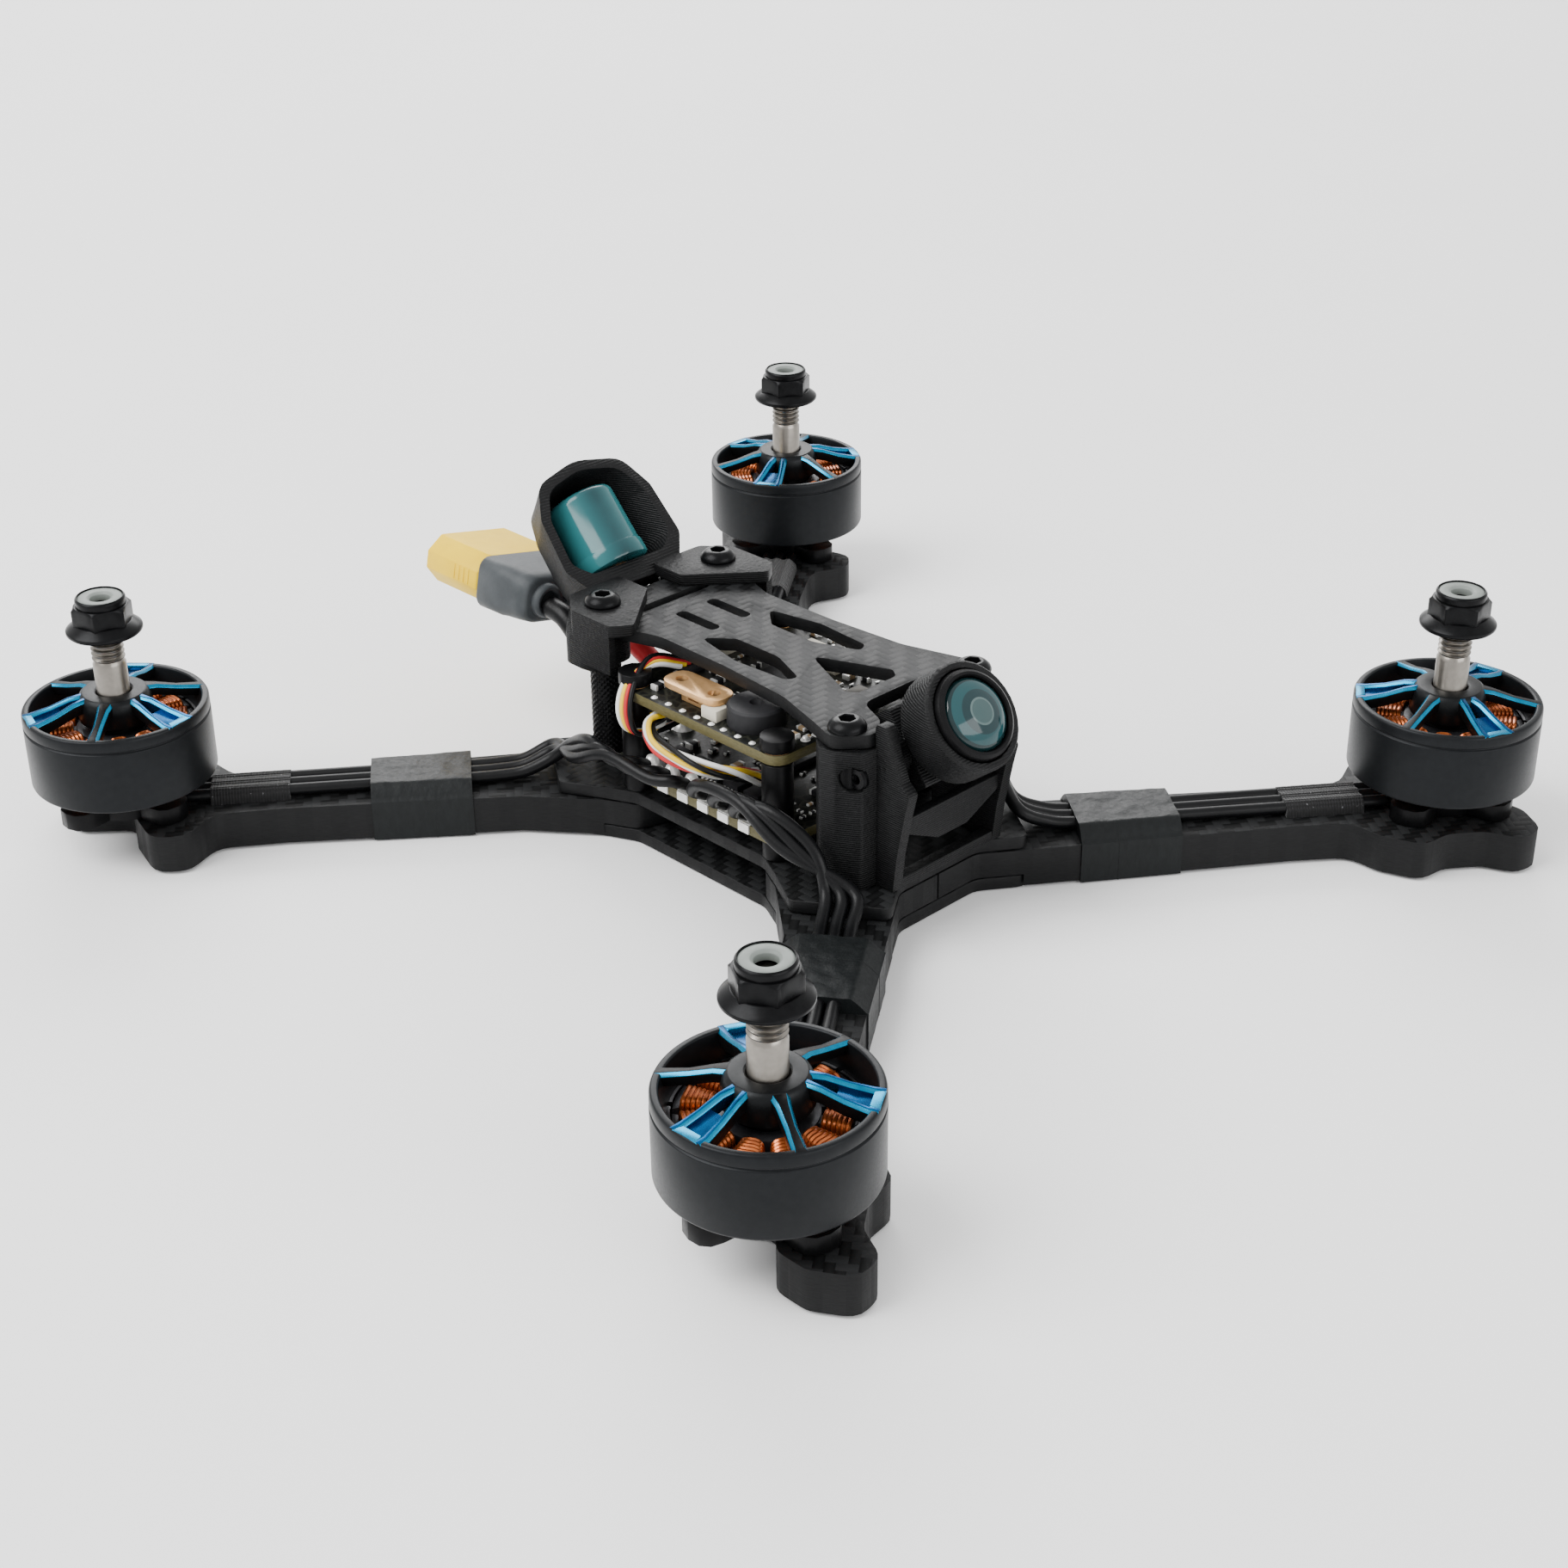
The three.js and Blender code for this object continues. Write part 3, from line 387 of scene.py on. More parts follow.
def printed(name):
    """Soft printed plastic: thin layer lines and small blobs where the nozzle stopped."""
    s = Surface(name, (0.012, 0.012, 0.013), 0.6)
    z = s.axes()[2]
    wobble = s.math("MULTIPLY", s.noise(0.35, 3), 0.25)
    line = s.math("SINE", s.math("MULTIPLY", s.math("ADD", z, wobble), TAU / 0.34))
    blobs = s.math("POWER", s.noise(1.6, 3), 3.0)
    s.set("Base Color", s.mix(s.noise(0.8, 4), (0.0018, 0.0018, 0.002), (0.006, 0.0063, 0.0067)))
    s.set("Roughness", s.between(s.noise(2.2, 3), 0.36, 0.62))
    s.bump(s.math("ADD", s.math("MULTIPLY", line, 0.5), s.math("MULTIPLY", blobs, 3.0)), 0.07, 0.8)
    return s.material


def machined(name, low, high, roughness, metallic=1.0, lines=0.14, depth=0.0025):
    """Turned metal: fine rings round its axis under the finish."""
    s = Surface(name, high, roughness, metallic)
    z = s.axes()[2]
    ring = s.math("SINE", s.math("MULTIPLY", z, TAU / lines))
    cloud = s.noise(0.9, 4)
    s.set("Base Color", s.mix(cloud, low, high))
    s.set("Roughness", s.between(s.noise(3.0, 3), roughness * 0.8, roughness * 1.25))
    s.bump(s.math("ADD", ring, s.noise(4.0, 2)), depth, 0.5)
    return s.material


def moulded(name, low, high, roughness, grain=5.0, depth=0.012):
    """Moulded plastic or rubber with fine grain and slow colour change."""
    s = Surface(name, high, roughness)
    s.set("Base Color", s.mix(s.noise(0.35, 4), low, high))
    s.set("Roughness", s.between(s.noise(1.3, 4), roughness * 0.8, min(1.0, roughness * 1.2)))
    s.bump(s.noise(grain, 3), depth, 0.7)
    return s.material


def enamelled_copper(name):
    s = Surface(name, (0.6, 0.2, 0.07), 0.3, 0.85, Coat_Weight=0.3, Coat_Roughness=0.15)
    s.set("Base Color", s.mix(s.noise(0.55, 3), (0.20, 0.035, 0.008), (0.72, 0.20, 0.055)))
    s.set("Roughness", s.between(s.noise(4.0, 2), 0.22, 0.4))
    s.bump(s.noise(7.0, 2), 0.01, 0.5)
    return s.material


def circuit(name):
    """Black solder mask with faint tracks, and the board's brown glass cloth on its edges."""
    s = Surface(name, (0.012, 0.013, 0.011), 0.38, Coat_Weight=0.1, Coat_Roughness=0.25)
    tracks = s.add("ShaderNodeTexVoronoi", feature="DISTANCE_TO_EDGE", distance="MANHATTAN")
    s.tree.links.new(s.place, tracks.inputs["Vector"])
    tracks.inputs["Scale"].default_value = 0.55
    track = s.math("LESS_THAN", tracks.outputs["Distance"], 0.09)
    face = s.mix(track, (0.004, 0.0045, 0.004), (0.016, 0.0165, 0.012))
    edge = s.mix(s.noise(1.4, 3, s.stretched(1, 1, 5)), (0.045, 0.038, 0.014), (0.13, 0.115, 0.05))
    s.set("Base Color", s.mix(s.upward(), edge, face))
    s.set("Roughness", s.between(s.noise(2.5, 3), 0.3, 0.5))
    s.bump(s.math("ADD", track, s.math("MULTIPLY", s.noise(5.0, 2), 0.4)), 0.03, 0.6)
    return s.material


def adhesive_tape(name):
    """Thin black tape with stretch wrinkles: painted shade in their creases and a dull painted sheen on their
    ridges.
    """
    s = Surface(name, (0.035, 0.038, 0.041), 0.4)
    wrinkle = s.noise(0.8, 5, s.stretched(1.5, 1.5, 0.6))
    # Painted shade and sheen: the colour follows the wrinkle height, darker in the creases and lighter on the
    # ridges.
    s.set("Base Color", s.mix(wrinkle, (0.0028, 0.0034, 0.0036), (0.0085, 0.0100, 0.0105)))
    s.set("Roughness", s.between(s.noise(1.5, 3), 0.3, 0.55))
    s.bump(wrinkle, 0.12, 0.6)
    return s.material


def braided(name, turn_degrees):
    """Woven sleeve: crossing strands with painted shade where they dip, and a pale tracer thread here and
    there.
    """
    s = Surface(name, (0.03, 0.03, 0.032), 0.6, Sheen_Weight=0.15)
    turn = s.add("ShaderNodeVectorRotate", rotation_type="Z_AXIS")
    s.tree.links.new(s.place, turn.inputs["Vector"])
    turn.inputs["Angle"].default_value = math.radians(turn_degrees)
    x, y = s.axes(turn.outputs[0])[:2]
    up = s.math("SINE", s.math("MULTIPLY", s.math("ADD", x, y), TAU / 0.9))
    down = s.math("SINE", s.math("MULTIPLY", s.math("SUBTRACT", x, y), TAU / 0.9))
    weave = s.math("MULTIPLY", up, down)
    tracer = s.math("GREATER_THAN", s.noise(1.3, 2), 0.68)
    thread = s.math("MULTIPLY", tracer, s.math("GREATER_THAN", weave, 0.35))
    height = s.math("MULTIPLY", s.math("ADD", weave, 1.0), 0.5)
    # Painted shade: the strands are darker where the weave dips and lighter where it rises.
    dark = s.mix(height, (0.0018, 0.0018, 0.002), (0.007, 0.007, 0.0075))
    s.set("Base Color", s.mix(thread, dark, (0.10, 0.10, 0.105)))
    s.bump(weave, 0.1, 0.8)
    return s.material


def coated_glass(name, pivot, tilt):
    """A dark coated lens: a painted highlight at its centre, a painted reflection of a pale inner element, a
    dark ring and a painted teal reflection band about the lens axis.
    """
    s = Surface(name, (0.012, 0.04, 0.045), 0.08)
    s.set("Specular IOR Level", 0.35)
    x, y, z = s.axes()
    rise = s.math("ADD", s.math("MULTIPLY", s.math("SUBTRACT", y, pivot.y), math.sin(tilt)),
                  s.math("MULTIPLY", s.math("SUBTRACT", z, pivot.z), math.cos(tilt)))
    radius = s.math("SQRT", s.math("ADD", s.math("MULTIPLY", x, x), s.math("MULTIPLY", rise, rise)))
    # Painted highlight and reflections: rings of colour at set distances from the lens axis, lighter in the
    # centre.
    colour = (0.045, 0.075, 0.075)
    for reach, beyond in ((1.75, (0.085, 0.125, 0.122)), (2.05, (0.006, 0.020, 0.023)),
                          (3.3, (0.010, 0.048, 0.054)), (4.7, (0.003, 0.009, 0.010))):
        colour = s.mix(s.math("GREATER_THAN", radius, reach), colour, beyond)
    s.set("Base Color", s.mix(s.math("MULTIPLY", s.noise(0.5, 3), 0.35), colour, (0.012, 0.05, 0.055)))
    s.set("Roughness", s.between(s.noise(0.8, 2), 0.05, 0.12))
    return s.material


def tinted_shell(name):
    """Smoky teal plastic: dark down the middle, lighter towards its sides as painted light."""
    s = Surface(name, (0.02, 0.12, 0.13), 0.16)
    s.set("Specular IOR Level", 0.35)
    # Painted light: the colour grows lighter with distance from the middle line, towards the pale teal at the
    # sides.
    side = s.math("DIVIDE", s.math("ABSOLUTE", s.math("ADD", s.axes()[0], 0.8)), 6.0)
    clear = s.math("POWER", s.math("MINIMUM", side, 1.0), 1.6)
    deep = s.mix(s.noise(0.25, 3), (0.004, 0.028, 0.033), (0.010, 0.055, 0.062))
    s.set("Base Color", s.mix(clear, deep, (0.035, 0.22, 0.235)))
    s.set("Roughness", s.between(s.noise(1.2, 3), 0.1, 0.2))
    return s.material


ARM_TURN = 37.15

CARBON = carbon("carbon_plate")
ARM_CARBON = {1: carbon("carbon_arm_a", ARM_TURN), -1: carbon("carbon_arm_b", -ARM_TURN)}
PRINTED = printed("printed_black")
BELL_METAL = machined("bell_graphite", (0.006, 0.0068, 0.0078), (0.0105, 0.0115, 0.0128), 0.36, 0.45)
DARK_METAL = machined("black_anodised", (0.002, 0.002, 0.0023), (0.006, 0.006, 0.0065), 0.38, 0.4)
HUB_METAL = machined("hub_grey", (0.005, 0.0055, 0.006), (0.013, 0.014, 0.015), 0.36, 0.6)
BLUE_METAL = machined("blue_anodised", (0.0, 0.03, 0.11), (0.0, 0.10, 0.26), 0.25, 0.9,
                      lines=0.9, depth=0.0008)
CYAN_EDGE = machined("cut_blue_edge", (0.0, 0.13, 0.26), (0.0, 0.25, 0.42), 0.26, 0.85,
                     lines=0.9, depth=0.0008)
STEEL = machined("turned_steel", (0.19, 0.175, 0.155), (0.30, 0.28, 0.25), 0.3, lines=1.2, depth=0.0006)
BLACK_STEEL = machined("black_oxide", (0.002, 0.002, 0.0023), (0.007, 0.0073, 0.008), 0.3, 0.5)
MAGNET = machined("magnet_nickel", (0.16, 0.16, 0.165), (0.27, 0.27, 0.28), 0.3)
LAMINATION = machined("stator_steel", (0.02, 0.02, 0.022), (0.05, 0.05, 0.055), 0.4, 0.6, lines=0.35)
COPPER = enamelled_copper("enamelled_copper")
NYLON = moulded("nylon_insert", (0.13, 0.145, 0.135), (0.21, 0.23, 0.215), 0.4)
CIRCUIT = circuit("solder_mask")
CHIP = moulded("chip_epoxy", (0.008, 0.008, 0.009), (0.022, 0.022, 0.024), 0.5, 8.0)
CERAMIC = moulded("ceramic_tan", (0.24, 0.16, 0.085), (0.38, 0.27, 0.16), 0.4)
SOCKET = moulded("socket_ivory", (0.50, 0.47, 0.38), (0.66, 0.62, 0.52), 0.45)
SOLDER = machined("solder", (0.62, 0.62, 0.60), (0.90, 0.90, 0.88), 0.24, 0.35, lines=0.8)
GOLD = machined("gold_plate", (0.46, 0.26, 0.10), (0.70, 0.43, 0.21), 0.3, 0.6, lines=0.5)
BLACK_RUBBER = moulded("black_silicone", (0.0018, 0.0018, 0.002), (0.005, 0.0053, 0.006), 0.36, 3.0, 0.03)
RED_RUBBER = moulded("red_silicone", (0.32, 0.012, 0.016), (0.50, 0.03, 0.035), 0.38, 3.0, 0.03)
YELLOW_RUBBER = moulded("yellow_silicone", (0.62, 0.38, 0.015), (0.80, 0.55, 0.03), 0.38, 3.0, 0.03)
WHITE_RUBBER = moulded("white_silicone", (0.58, 0.58, 0.56), (0.78, 0.78, 0.76), 0.38, 3.0, 0.03)
TAPE = adhesive_tape("black_tape")
BRAID = {1: braided("braid_a", ARM_TURN), -1: braided("braid_b", -ARM_TURN)}
YELLOW_NYLON = moulded("yellow_nylon", (0.76, 0.48, 0.0), (0.90, 0.60, 0.0), 0.45, 4.0, 0.02)
GREY_SLEEVE = moulded("grey_sleeve", (0.032, 0.036, 0.039), (0.068, 0.075, 0.080), 0.45, 2.5, 0.03)
TEAL_SHELL = tinted_shell("teal_shell")


# ---- battery pigtail -------------------------------------------------------------------------
WIRE_RADIUS = 1.75


def wire_route(side):
    """The same points as the CAD wire, in millimetres."""
    return [
        (side * 3.5, 19.6, 13.9),
        (side * 3.5, 22.5, 13.9),
        (side * 3.9, 27.0, 14.4),
        (side * 4.4, 32.0, 16.0),
        (side * 4.4 - 0.6, 36.5, 18.8),
        (side * 3.9 - 1.2, 40.5, 22.0),
        (side * 3.6 - 1.5, 44.0, 24.6),
        (side * 3.6 - 1.5, 47.6, 25.3),
    ]


PLUG_TAIL = Vector((-1.5, 48.6, 25.3))
PLUG_PLACE = (Matrix.Translation(PLUG_TAIL) @ Matrix.Rotation(math.radians(12), 4, "Y")
              @ Matrix.Rotation(-math.pi / 2, 4, "X"))


def plug_outline(half_x, half_y, chamfer):
    """A plug's section: square on the side of one pole, cut corners on the other."""
    return [(half_x, -half_y), (half_x, half_y), (-half_x + chamfer, half_y), (-half_x, half_y - chamfer),
            (-half_x, -half_y + chamfer), (-half_x + chamfer, -half_y)]


def add_plug():
    shell = Sculpt()
    outer = plug_outline(8.0, 4.05, 2.6)
    inner = plug_outline(6.7, 2.8, 2.0)
    levels = ((0.97, 12.5), (1, 12.9), (1, 25.6), (0.97, 26.0))
    rings = [[(x * k, y * k, z) for x, y in outer] for k, z in levels]
    mouth = [[(x, y, z) for x, y in inner] for z in (26.0, 17.4)]
    shell.loft([*rings, *mouth, [(0, 0, 17.4)] * 6, [(0, 0, 12.5)] * 6, rings[0]], YELLOW_NYLON,
               PLUG_PLACE, caps=False)
    for x in (-8.05, 8.05):
        for z in (14.6, 15.8, 17.0, 18.2):
            shell.prism([(x - 0.25, -2.6), (x + 0.25, -2.6), (x + 0.25, 2.6), (x - 0.25, 2.6)] if x > 0 else
                        [(x - 0.1, -1.3), (x + 0.25, -1.3), (x + 0.25, 1.3), (x - 0.1, 1.3)],
                        z, z + 0.55, YELLOW_NYLON, PLUG_PLACE)
    plug = shell.piece("plug_shell", "airframe", "yellow_nylon", ("power_plug",), bevel=0.18)

    contacts = []
    for x in (3.6, -3.6):
        pin = PLUG_PLACE @ Matrix.Translation((x, 0, 0))
        contact = Sculpt()
        contact.lathe([
            (0, 17.0), (1.7, 17.0), (1.7, 23.4), (1.45, 24.2), (0.9, 24.2), (0.9, 20.0), (0, 20.0),
        ], GOLD, pin, 32)
        contacts.append(contact.piece(f"plug_contact_{len(contacts) + 1}", "airframe", "gold_metal"))

    boot = Sculpt()
    rings = []
    for z, half_x, half_y, radius in (
        (0.3, 7.2, 3.3, 2.4), (0.7, 7.7, 3.8, 2.6), (3.0, 7.9, 4.1, 2.8), (5.6, 8.0, 4.2, 2.4),
        (6.6, 8.3, 4.3, 2.2), (11.6, 8.3, 4.3, 2.0), (12.1, 8.15, 4.2, 2.0),
    ):
        ripple = 0.06 * math.sin(z * 2.1)
        rings.append([Vector((p.x + ripple, p.y, z)) for p in rounded_outline(half_x, half_y, radius)])
    boot.loft(rings, GREY_SLEEVE, PLUG_PLACE)
    for x in (3.6, -3.6):
        collar = PLUG_PLACE @ Matrix.Translation((x, 0, 0))
        boot.lathe([
            (1.85, 0.5), (1.85, -0.9), (2.35, -1.1), (2.75, -0.8), (3.0, 0.6), (1.85, 0.6), (1.85, 0.5),
        ], GREY_SLEEVE, collar, 32)
    sleeve = boot.piece("plug_boot_sleeve", "airframe", "grey_sleeve", ("plug_boot",), bevel=0.15, crease=50)
    return [plug, sleeve, contacts[0]], [contacts[1]]


def add_pigtail():
    red_end, black_end = add_plug()
    for side, node, material, slot, end in (
        (1, "power_wire_red", RED_RUBBER, "red_silicone", red_end),
        (-1, "power_wire_black", BLACK_RUBBER, "black_silicone", black_end),
    ):
        path = through(wire_route(side), 6)
        wire = Sculpt().tube(path, WIRE_RADIUS, material, 20)
        piece = wire.piece(f"{node}_silicone", "airframe", slot, (node,))


add_pigtail()


# ---- frame -----------------------------------------------------------------------------------
def add_button_screw(screws, x, y, seat, radius=2.8):
    """A dome head with a hexagon socket."""
    dome = [(0, seat), (radius, seat), (radius, seat + 0.25), (radius * 0.93, seat + 0.75),
            (radius * 0.74, seat + 1.25), (radius * 0.56, seat + 1.5)]
    rings = [ring_points(r, z, 48) for r, z in dome]
    angles = [TAU * k / 48 for k in range(48)]
    for scale, z in ((1.08, seat + 1.5), (1.0, seat + 1.4), (1.0, seat + 0.45), (0.0, seat + 0.35)):
        rings.append([
            Vector((math.cos(a), math.sin(a), 0)) * hexagon_radius(a, 2.1) * scale + Vector((0, 0, z))
            for a in angles
        ])
    screws.loft(rings, BLACK_STEEL, Matrix.Translation((x, y, 0)), caps=False)


def add_knurled_post(name):
    """A standoff with a diamond knurl between two plain ends."""
    low, high = span(name)
    centre = middle(name)
    radius = (high.x - low.x) / 2
    segments = 72
    rows = 90
    rings = []
    for row in range(rows + 1):
        z = low.z + (high.z - low.z) * row / rows
        inside = 1.2 < z - low.z < high.z - low.z - 1.2
        ring = []
        for k in range(segments):
            angle = TAU * k / segments
            cross = abs(math.sin(9 * angle + z * 3.4)) * abs(math.sin(9 * angle - z * 3.4))
            depth = 0.28 * (1 - cross) if inside else 0.0
            ring.append(Vector((math.cos(angle), math.sin(angle), 0)) * (radius - depth) + Vector((0, 0, z)))
        rings.append(ring)
    post = Sculpt().loft(rings, DARK_METAL, Matrix.Translation((centre.x, centre.y, 0)))
    post.piece(f"{name}_knurled", "airframe", "black_aluminium", (name,))


def add_frame():
    for plate in ("bottom_plate", "mid_plate", "top_plate"):
        refined(plate, CARBON, 0.14)
    for name, (sx, sy) in QUARTERS.items():
        refined(f"arm_{name}", ARM_CARBON[-sx * sy], 0.45)
    for end in ("front", "rear"):
        for side in ("left", "right"):
            screw = f"screw_{end}_{side}"
            centre = middle(screw)
            head = Sculpt()
            add_button_screw(head, centre.x, centre.y, span(screw)[0].z)
            head.piece(f"{screw}_head", "airframe", "black_steel", (screw,), bevel=0.05)
    for side in ("left", "right"):
        add_knurled_post(f"standoff_rear_{side}")
        refined(f"standoff_front_{side}", DARK_METAL, 0.1)
    for name in QUARTERS:
        refined(f"stack_post_{name}", DARK_METAL, 0.12)


# ---- motors ----------------------------------------------------------------------------------
# The direction of one wide spoke on each bell, in degrees from +X.
WIDE_SPOKE = {"front_left": 5.5, "front_right": 62.0, "rear_left": 89.5, "rear_right": 43.6}


def spoke_section(radius, width, top, thickness, chamfer):
    """Across a spoke at one radius: floor, side, chamfer, top, chamfer, side."""
    half = width / 2
    return [
        Vector((radius, -half, top - thickness)), Vector((radius, -half, top - chamfer)),
        Vector((radius, -half + chamfer, top)), Vector((radius, half - chamfer, top)),
        Vector((radius, half, top - chamfer)), Vector((radius, half, top - thickness)),
    ]


def add_thin_spoke(bell, place, hub_level, rim_level):
    levels = ((4.4, 2.6, hub_level), (6.4, 1.9, hub_level - 0.35), (9.5, 1.6, rim_level + 0.75),
              (12.7, 1.9, rim_level + 0.12), (13.55, 2.3, rim_level + 0.06))
    rings = [spoke_section(r, w, z, 1.7 if r < 13 else 0.6, 0.42) for r, w, z in levels]
    bell.loft(rings, DARK_METAL, place, strips={1: CYAN_EDGE, 3: CYAN_EDGE})


def add_wide_spoke(bell, place, hub_level, rim_level):
    """Two prongs that open towards the rim, a bright pocket floor between and a closed outer end."""
    for hand in (1, -1):
        rings = []
        for r, y, w, z in ((4.4, 0.8, 1.5, hub_level), (6.6, 1.25, 1.25, hub_level - 0.35),
                           (9.4, 1.65, 1.15, rim_level + 0.75), (12.2, 2.0, 1.3, rim_level + 0.15),
                           (13.55, 2.05, 1.5, rim_level + 0.06)):
            depth = 2.0 if r < 13 else 0.6
            rings.append([p + Vector((0, hand * y, 0)) for p in spoke_section(r, w, z, depth, 0.4)])
        inner = 4 if hand < 0 else 0
        strips = {1: CYAN_EDGE, 3: CYAN_EDGE, inner: BLUE_METAL, 2: BLUE_METAL}
        bell.loft(rings, DARK_METAL, place, strips=strips)
    floor = [spoke_section(r, w, z, 1.0, 0.1) for r, w, z in
             ((8.2, 2.2, hub_level - 1.75), (10.4, 2.7, rim_level - 0.35), (12.6, 3.2, rim_level - 0.6))]
    bell.loft(floor, BLUE_METAL, place)
    bridge = [spoke_section(r, w, z, 0.8, 0.3) for r, w, z in
              ((12.3, 3.4, rim_level + 0.1), (13.6, 4.4, rim_level + 0.05))]
    bell.loft(bridge, CYAN_EDGE, place)


def add_bell(name, centre):
    low, high = span(f"bell_{name}")
    radius = (high.x - low.x) / 2
    seam = high.z - 4.1
    rim = high.z - 2.1
    place = Matrix.Translation((centre.x, centre.y, 0))
    bell = Sculpt()
    bell.lathe([
        (11.9, low.z + 0.3), (12.2, low.z), (radius - 0.5, low.z), (radius - 0.12, low.z + 0.16),
        (radius, low.z + 0.5), (radius, seam - 0.2), (radius - 0.28, seam - 0.02),
        (radius - 0.3, seam + 0.16),
        (radius - 0.02, seam + 0.3), (radius - 0.05, rim - 0.4), (radius - 0.2, rim - 0.1),
        (radius - 0.4, rim), (12.95, rim), (12.75, rim - 0.15), (12.4, rim - 1.6), (11.9, seam - 1.0),
        (11.9, low.z + 0.3),
    ], BELL_METAL, place, 128)
    bell.lathe([
        (2.62, seam - 0.2), (5.6, seam - 0.2), (5.6, rim + 0.2), (5.4, high.z - 0.9), (5.1, high.z - 0.35),
        (4.7, high.z - 0.05), (2.9, high.z), (2.62, high.z - 0.2), (2.62, seam - 0.2),
    ], HUB_METAL, place, 64)
    for k in range(6):
        angle = math.radians(WIDE_SPOKE[name] + 60 * k)
        spoke_place = place @ Matrix.Rotation(angle, 4, "Z")
        draw = add_thin_spoke if k % 2 else add_wide_spoke
        draw(bell, spoke_place, high.z - 0.1, rim - 0.05)
    bell.piece(f"bell_{name}_turned", f"rotor_{name}", "motor_metal", (f"bell_{name}",), bevel=0.07)

    magnets = Sculpt()
    poles = 14
    for pole in range(poles):
        start, end = TAU * (pole + 0.08) / poles, TAU * (pole + 0.92) / poles
        angles = [start + (end - start) * k / 6 for k in range(7)]
        outline = [(11.86 * math.cos(a), 11.86 * math.sin(a)) for a in angles]
        outline += [(11.48 * math.cos(a), 11.48 * math.sin(a)) for a in reversed(angles)]
        magnets.prism(outline, low.z + 0.6, seam - 1.6, MAGNET, place)
    magnets.piece(f"magnets_{name}", f"rotor_{name}", "steel")


def add_shaft(name, centre):
    low, high = span(f"shaft_{name}")
    radius = (high.x - low.x) / 2
    thread_start = high.z - 8.6
    pitch = 0.8
    profile = [(0, low.z), (radius, low.z), (radius, thread_start - 0.5), (radius - 0.3, thread_start)]
    turns = int((high.z - thread_start - 0.6) / pitch)
    for turn in range(turns):
        z = thread_start + turn * pitch
        profile += [(radius - 0.36, z + 0.12), (radius - 0.02, z + 0.42), (radius - 0.02, z + 0.52),
                    (radius - 0.36, z + 0.8)]
    profile += [(radius - 0.5, high.z - 0.3), (radius - 0.9, high.z), (0, high.z)]
    shaft = Sculpt().lathe(profile, STEEL, Matrix.Translation((centre.x, centre.y, 0)), 48)
    shaft.piece(f"shaft_{name}_turned", f"rotor_{name}", "steel", (f"shaft_{name}",), crease=50)


def add_nut(name, centre):
    low, high = span(f"prop_nut_{name}")
    bore = 2.62
    turn = Matrix.Rotation(math.radians(WIDE_SPOKE[name]), 4, "Z")
    place = Matrix.Translation((centre.x, centre.y, 0)) @ turn
    nut = Sculpt()
    flange = (high.x - low.x) / 2
    nut.lathe([(bore, low.z + 0.1), (bore + 0.4, low.z), (flange - 0.3, low.z), (flange, low.z + 0.3),
               (flange, low.z + 0.7), (flange - 0.5, low.z + 1.1), (4.2, low.z + 1.8), (bore, low.z + 1.8),
               (bore, low.z + 0.1)], BLACK_STEEL, place)
    hex_top = high.z - 1.25
    levels = ((low.z + 1.2, 9.0), (hex_top - 0.5, 9.0), (hex_top, 4.05))
    rings = []
    for z, limit in levels:
        angles = [TAU * k / 72 for k in range(72)]
        reach = [min(hexagon_radius(a, 7.9), limit) for a in angles]
        rings.append([Vector((r * math.cos(a), r * math.sin(a), z)) for r, a in zip(reach, angles)])
    inside = [ring_points(bore, z, 72) for z in (hex_top, low.z + 1.2)]
    nut.loft([*rings, *inside, rings[0]], BLACK_STEEL, place, caps=False)
    nut.lathe([
        (3.35, hex_top - 0.2), (3.75, hex_top - 0.2), (3.72, high.z - 0.35), (3.45, high.z),
        (3.3, high.z - 0.1), (3.35, hex_top - 0.2),
    ], BLACK_STEEL, place)
    nut.lathe([(1.5, high.z - 1.5), (3.3, high.z - 1.5), (3.34, high.z - 0.3), (2.9, high.z - 0.15),
               (1.9, high.z - 0.2), (1.5, high.z - 0.5), (1.5, high.z - 1.5)], NYLON, place)
    nut.piece(f"prop_nut_{name}_hex", f"rotor_{name}", "black_steel", (f"prop_nut_{name}",),
              bevel=0.08, crease=28)


def winding_loop(radius, half_width, low, high):
    """One turn round a tooth, seen along the tooth: a rounded box."""
    outline = rounded_outline(half_width, (high - low) / 2, min(0.8, half_width * 0.9), 3)
    return [Vector((radius, p.x, (low + high) / 2 + p.y)) for p in outline]


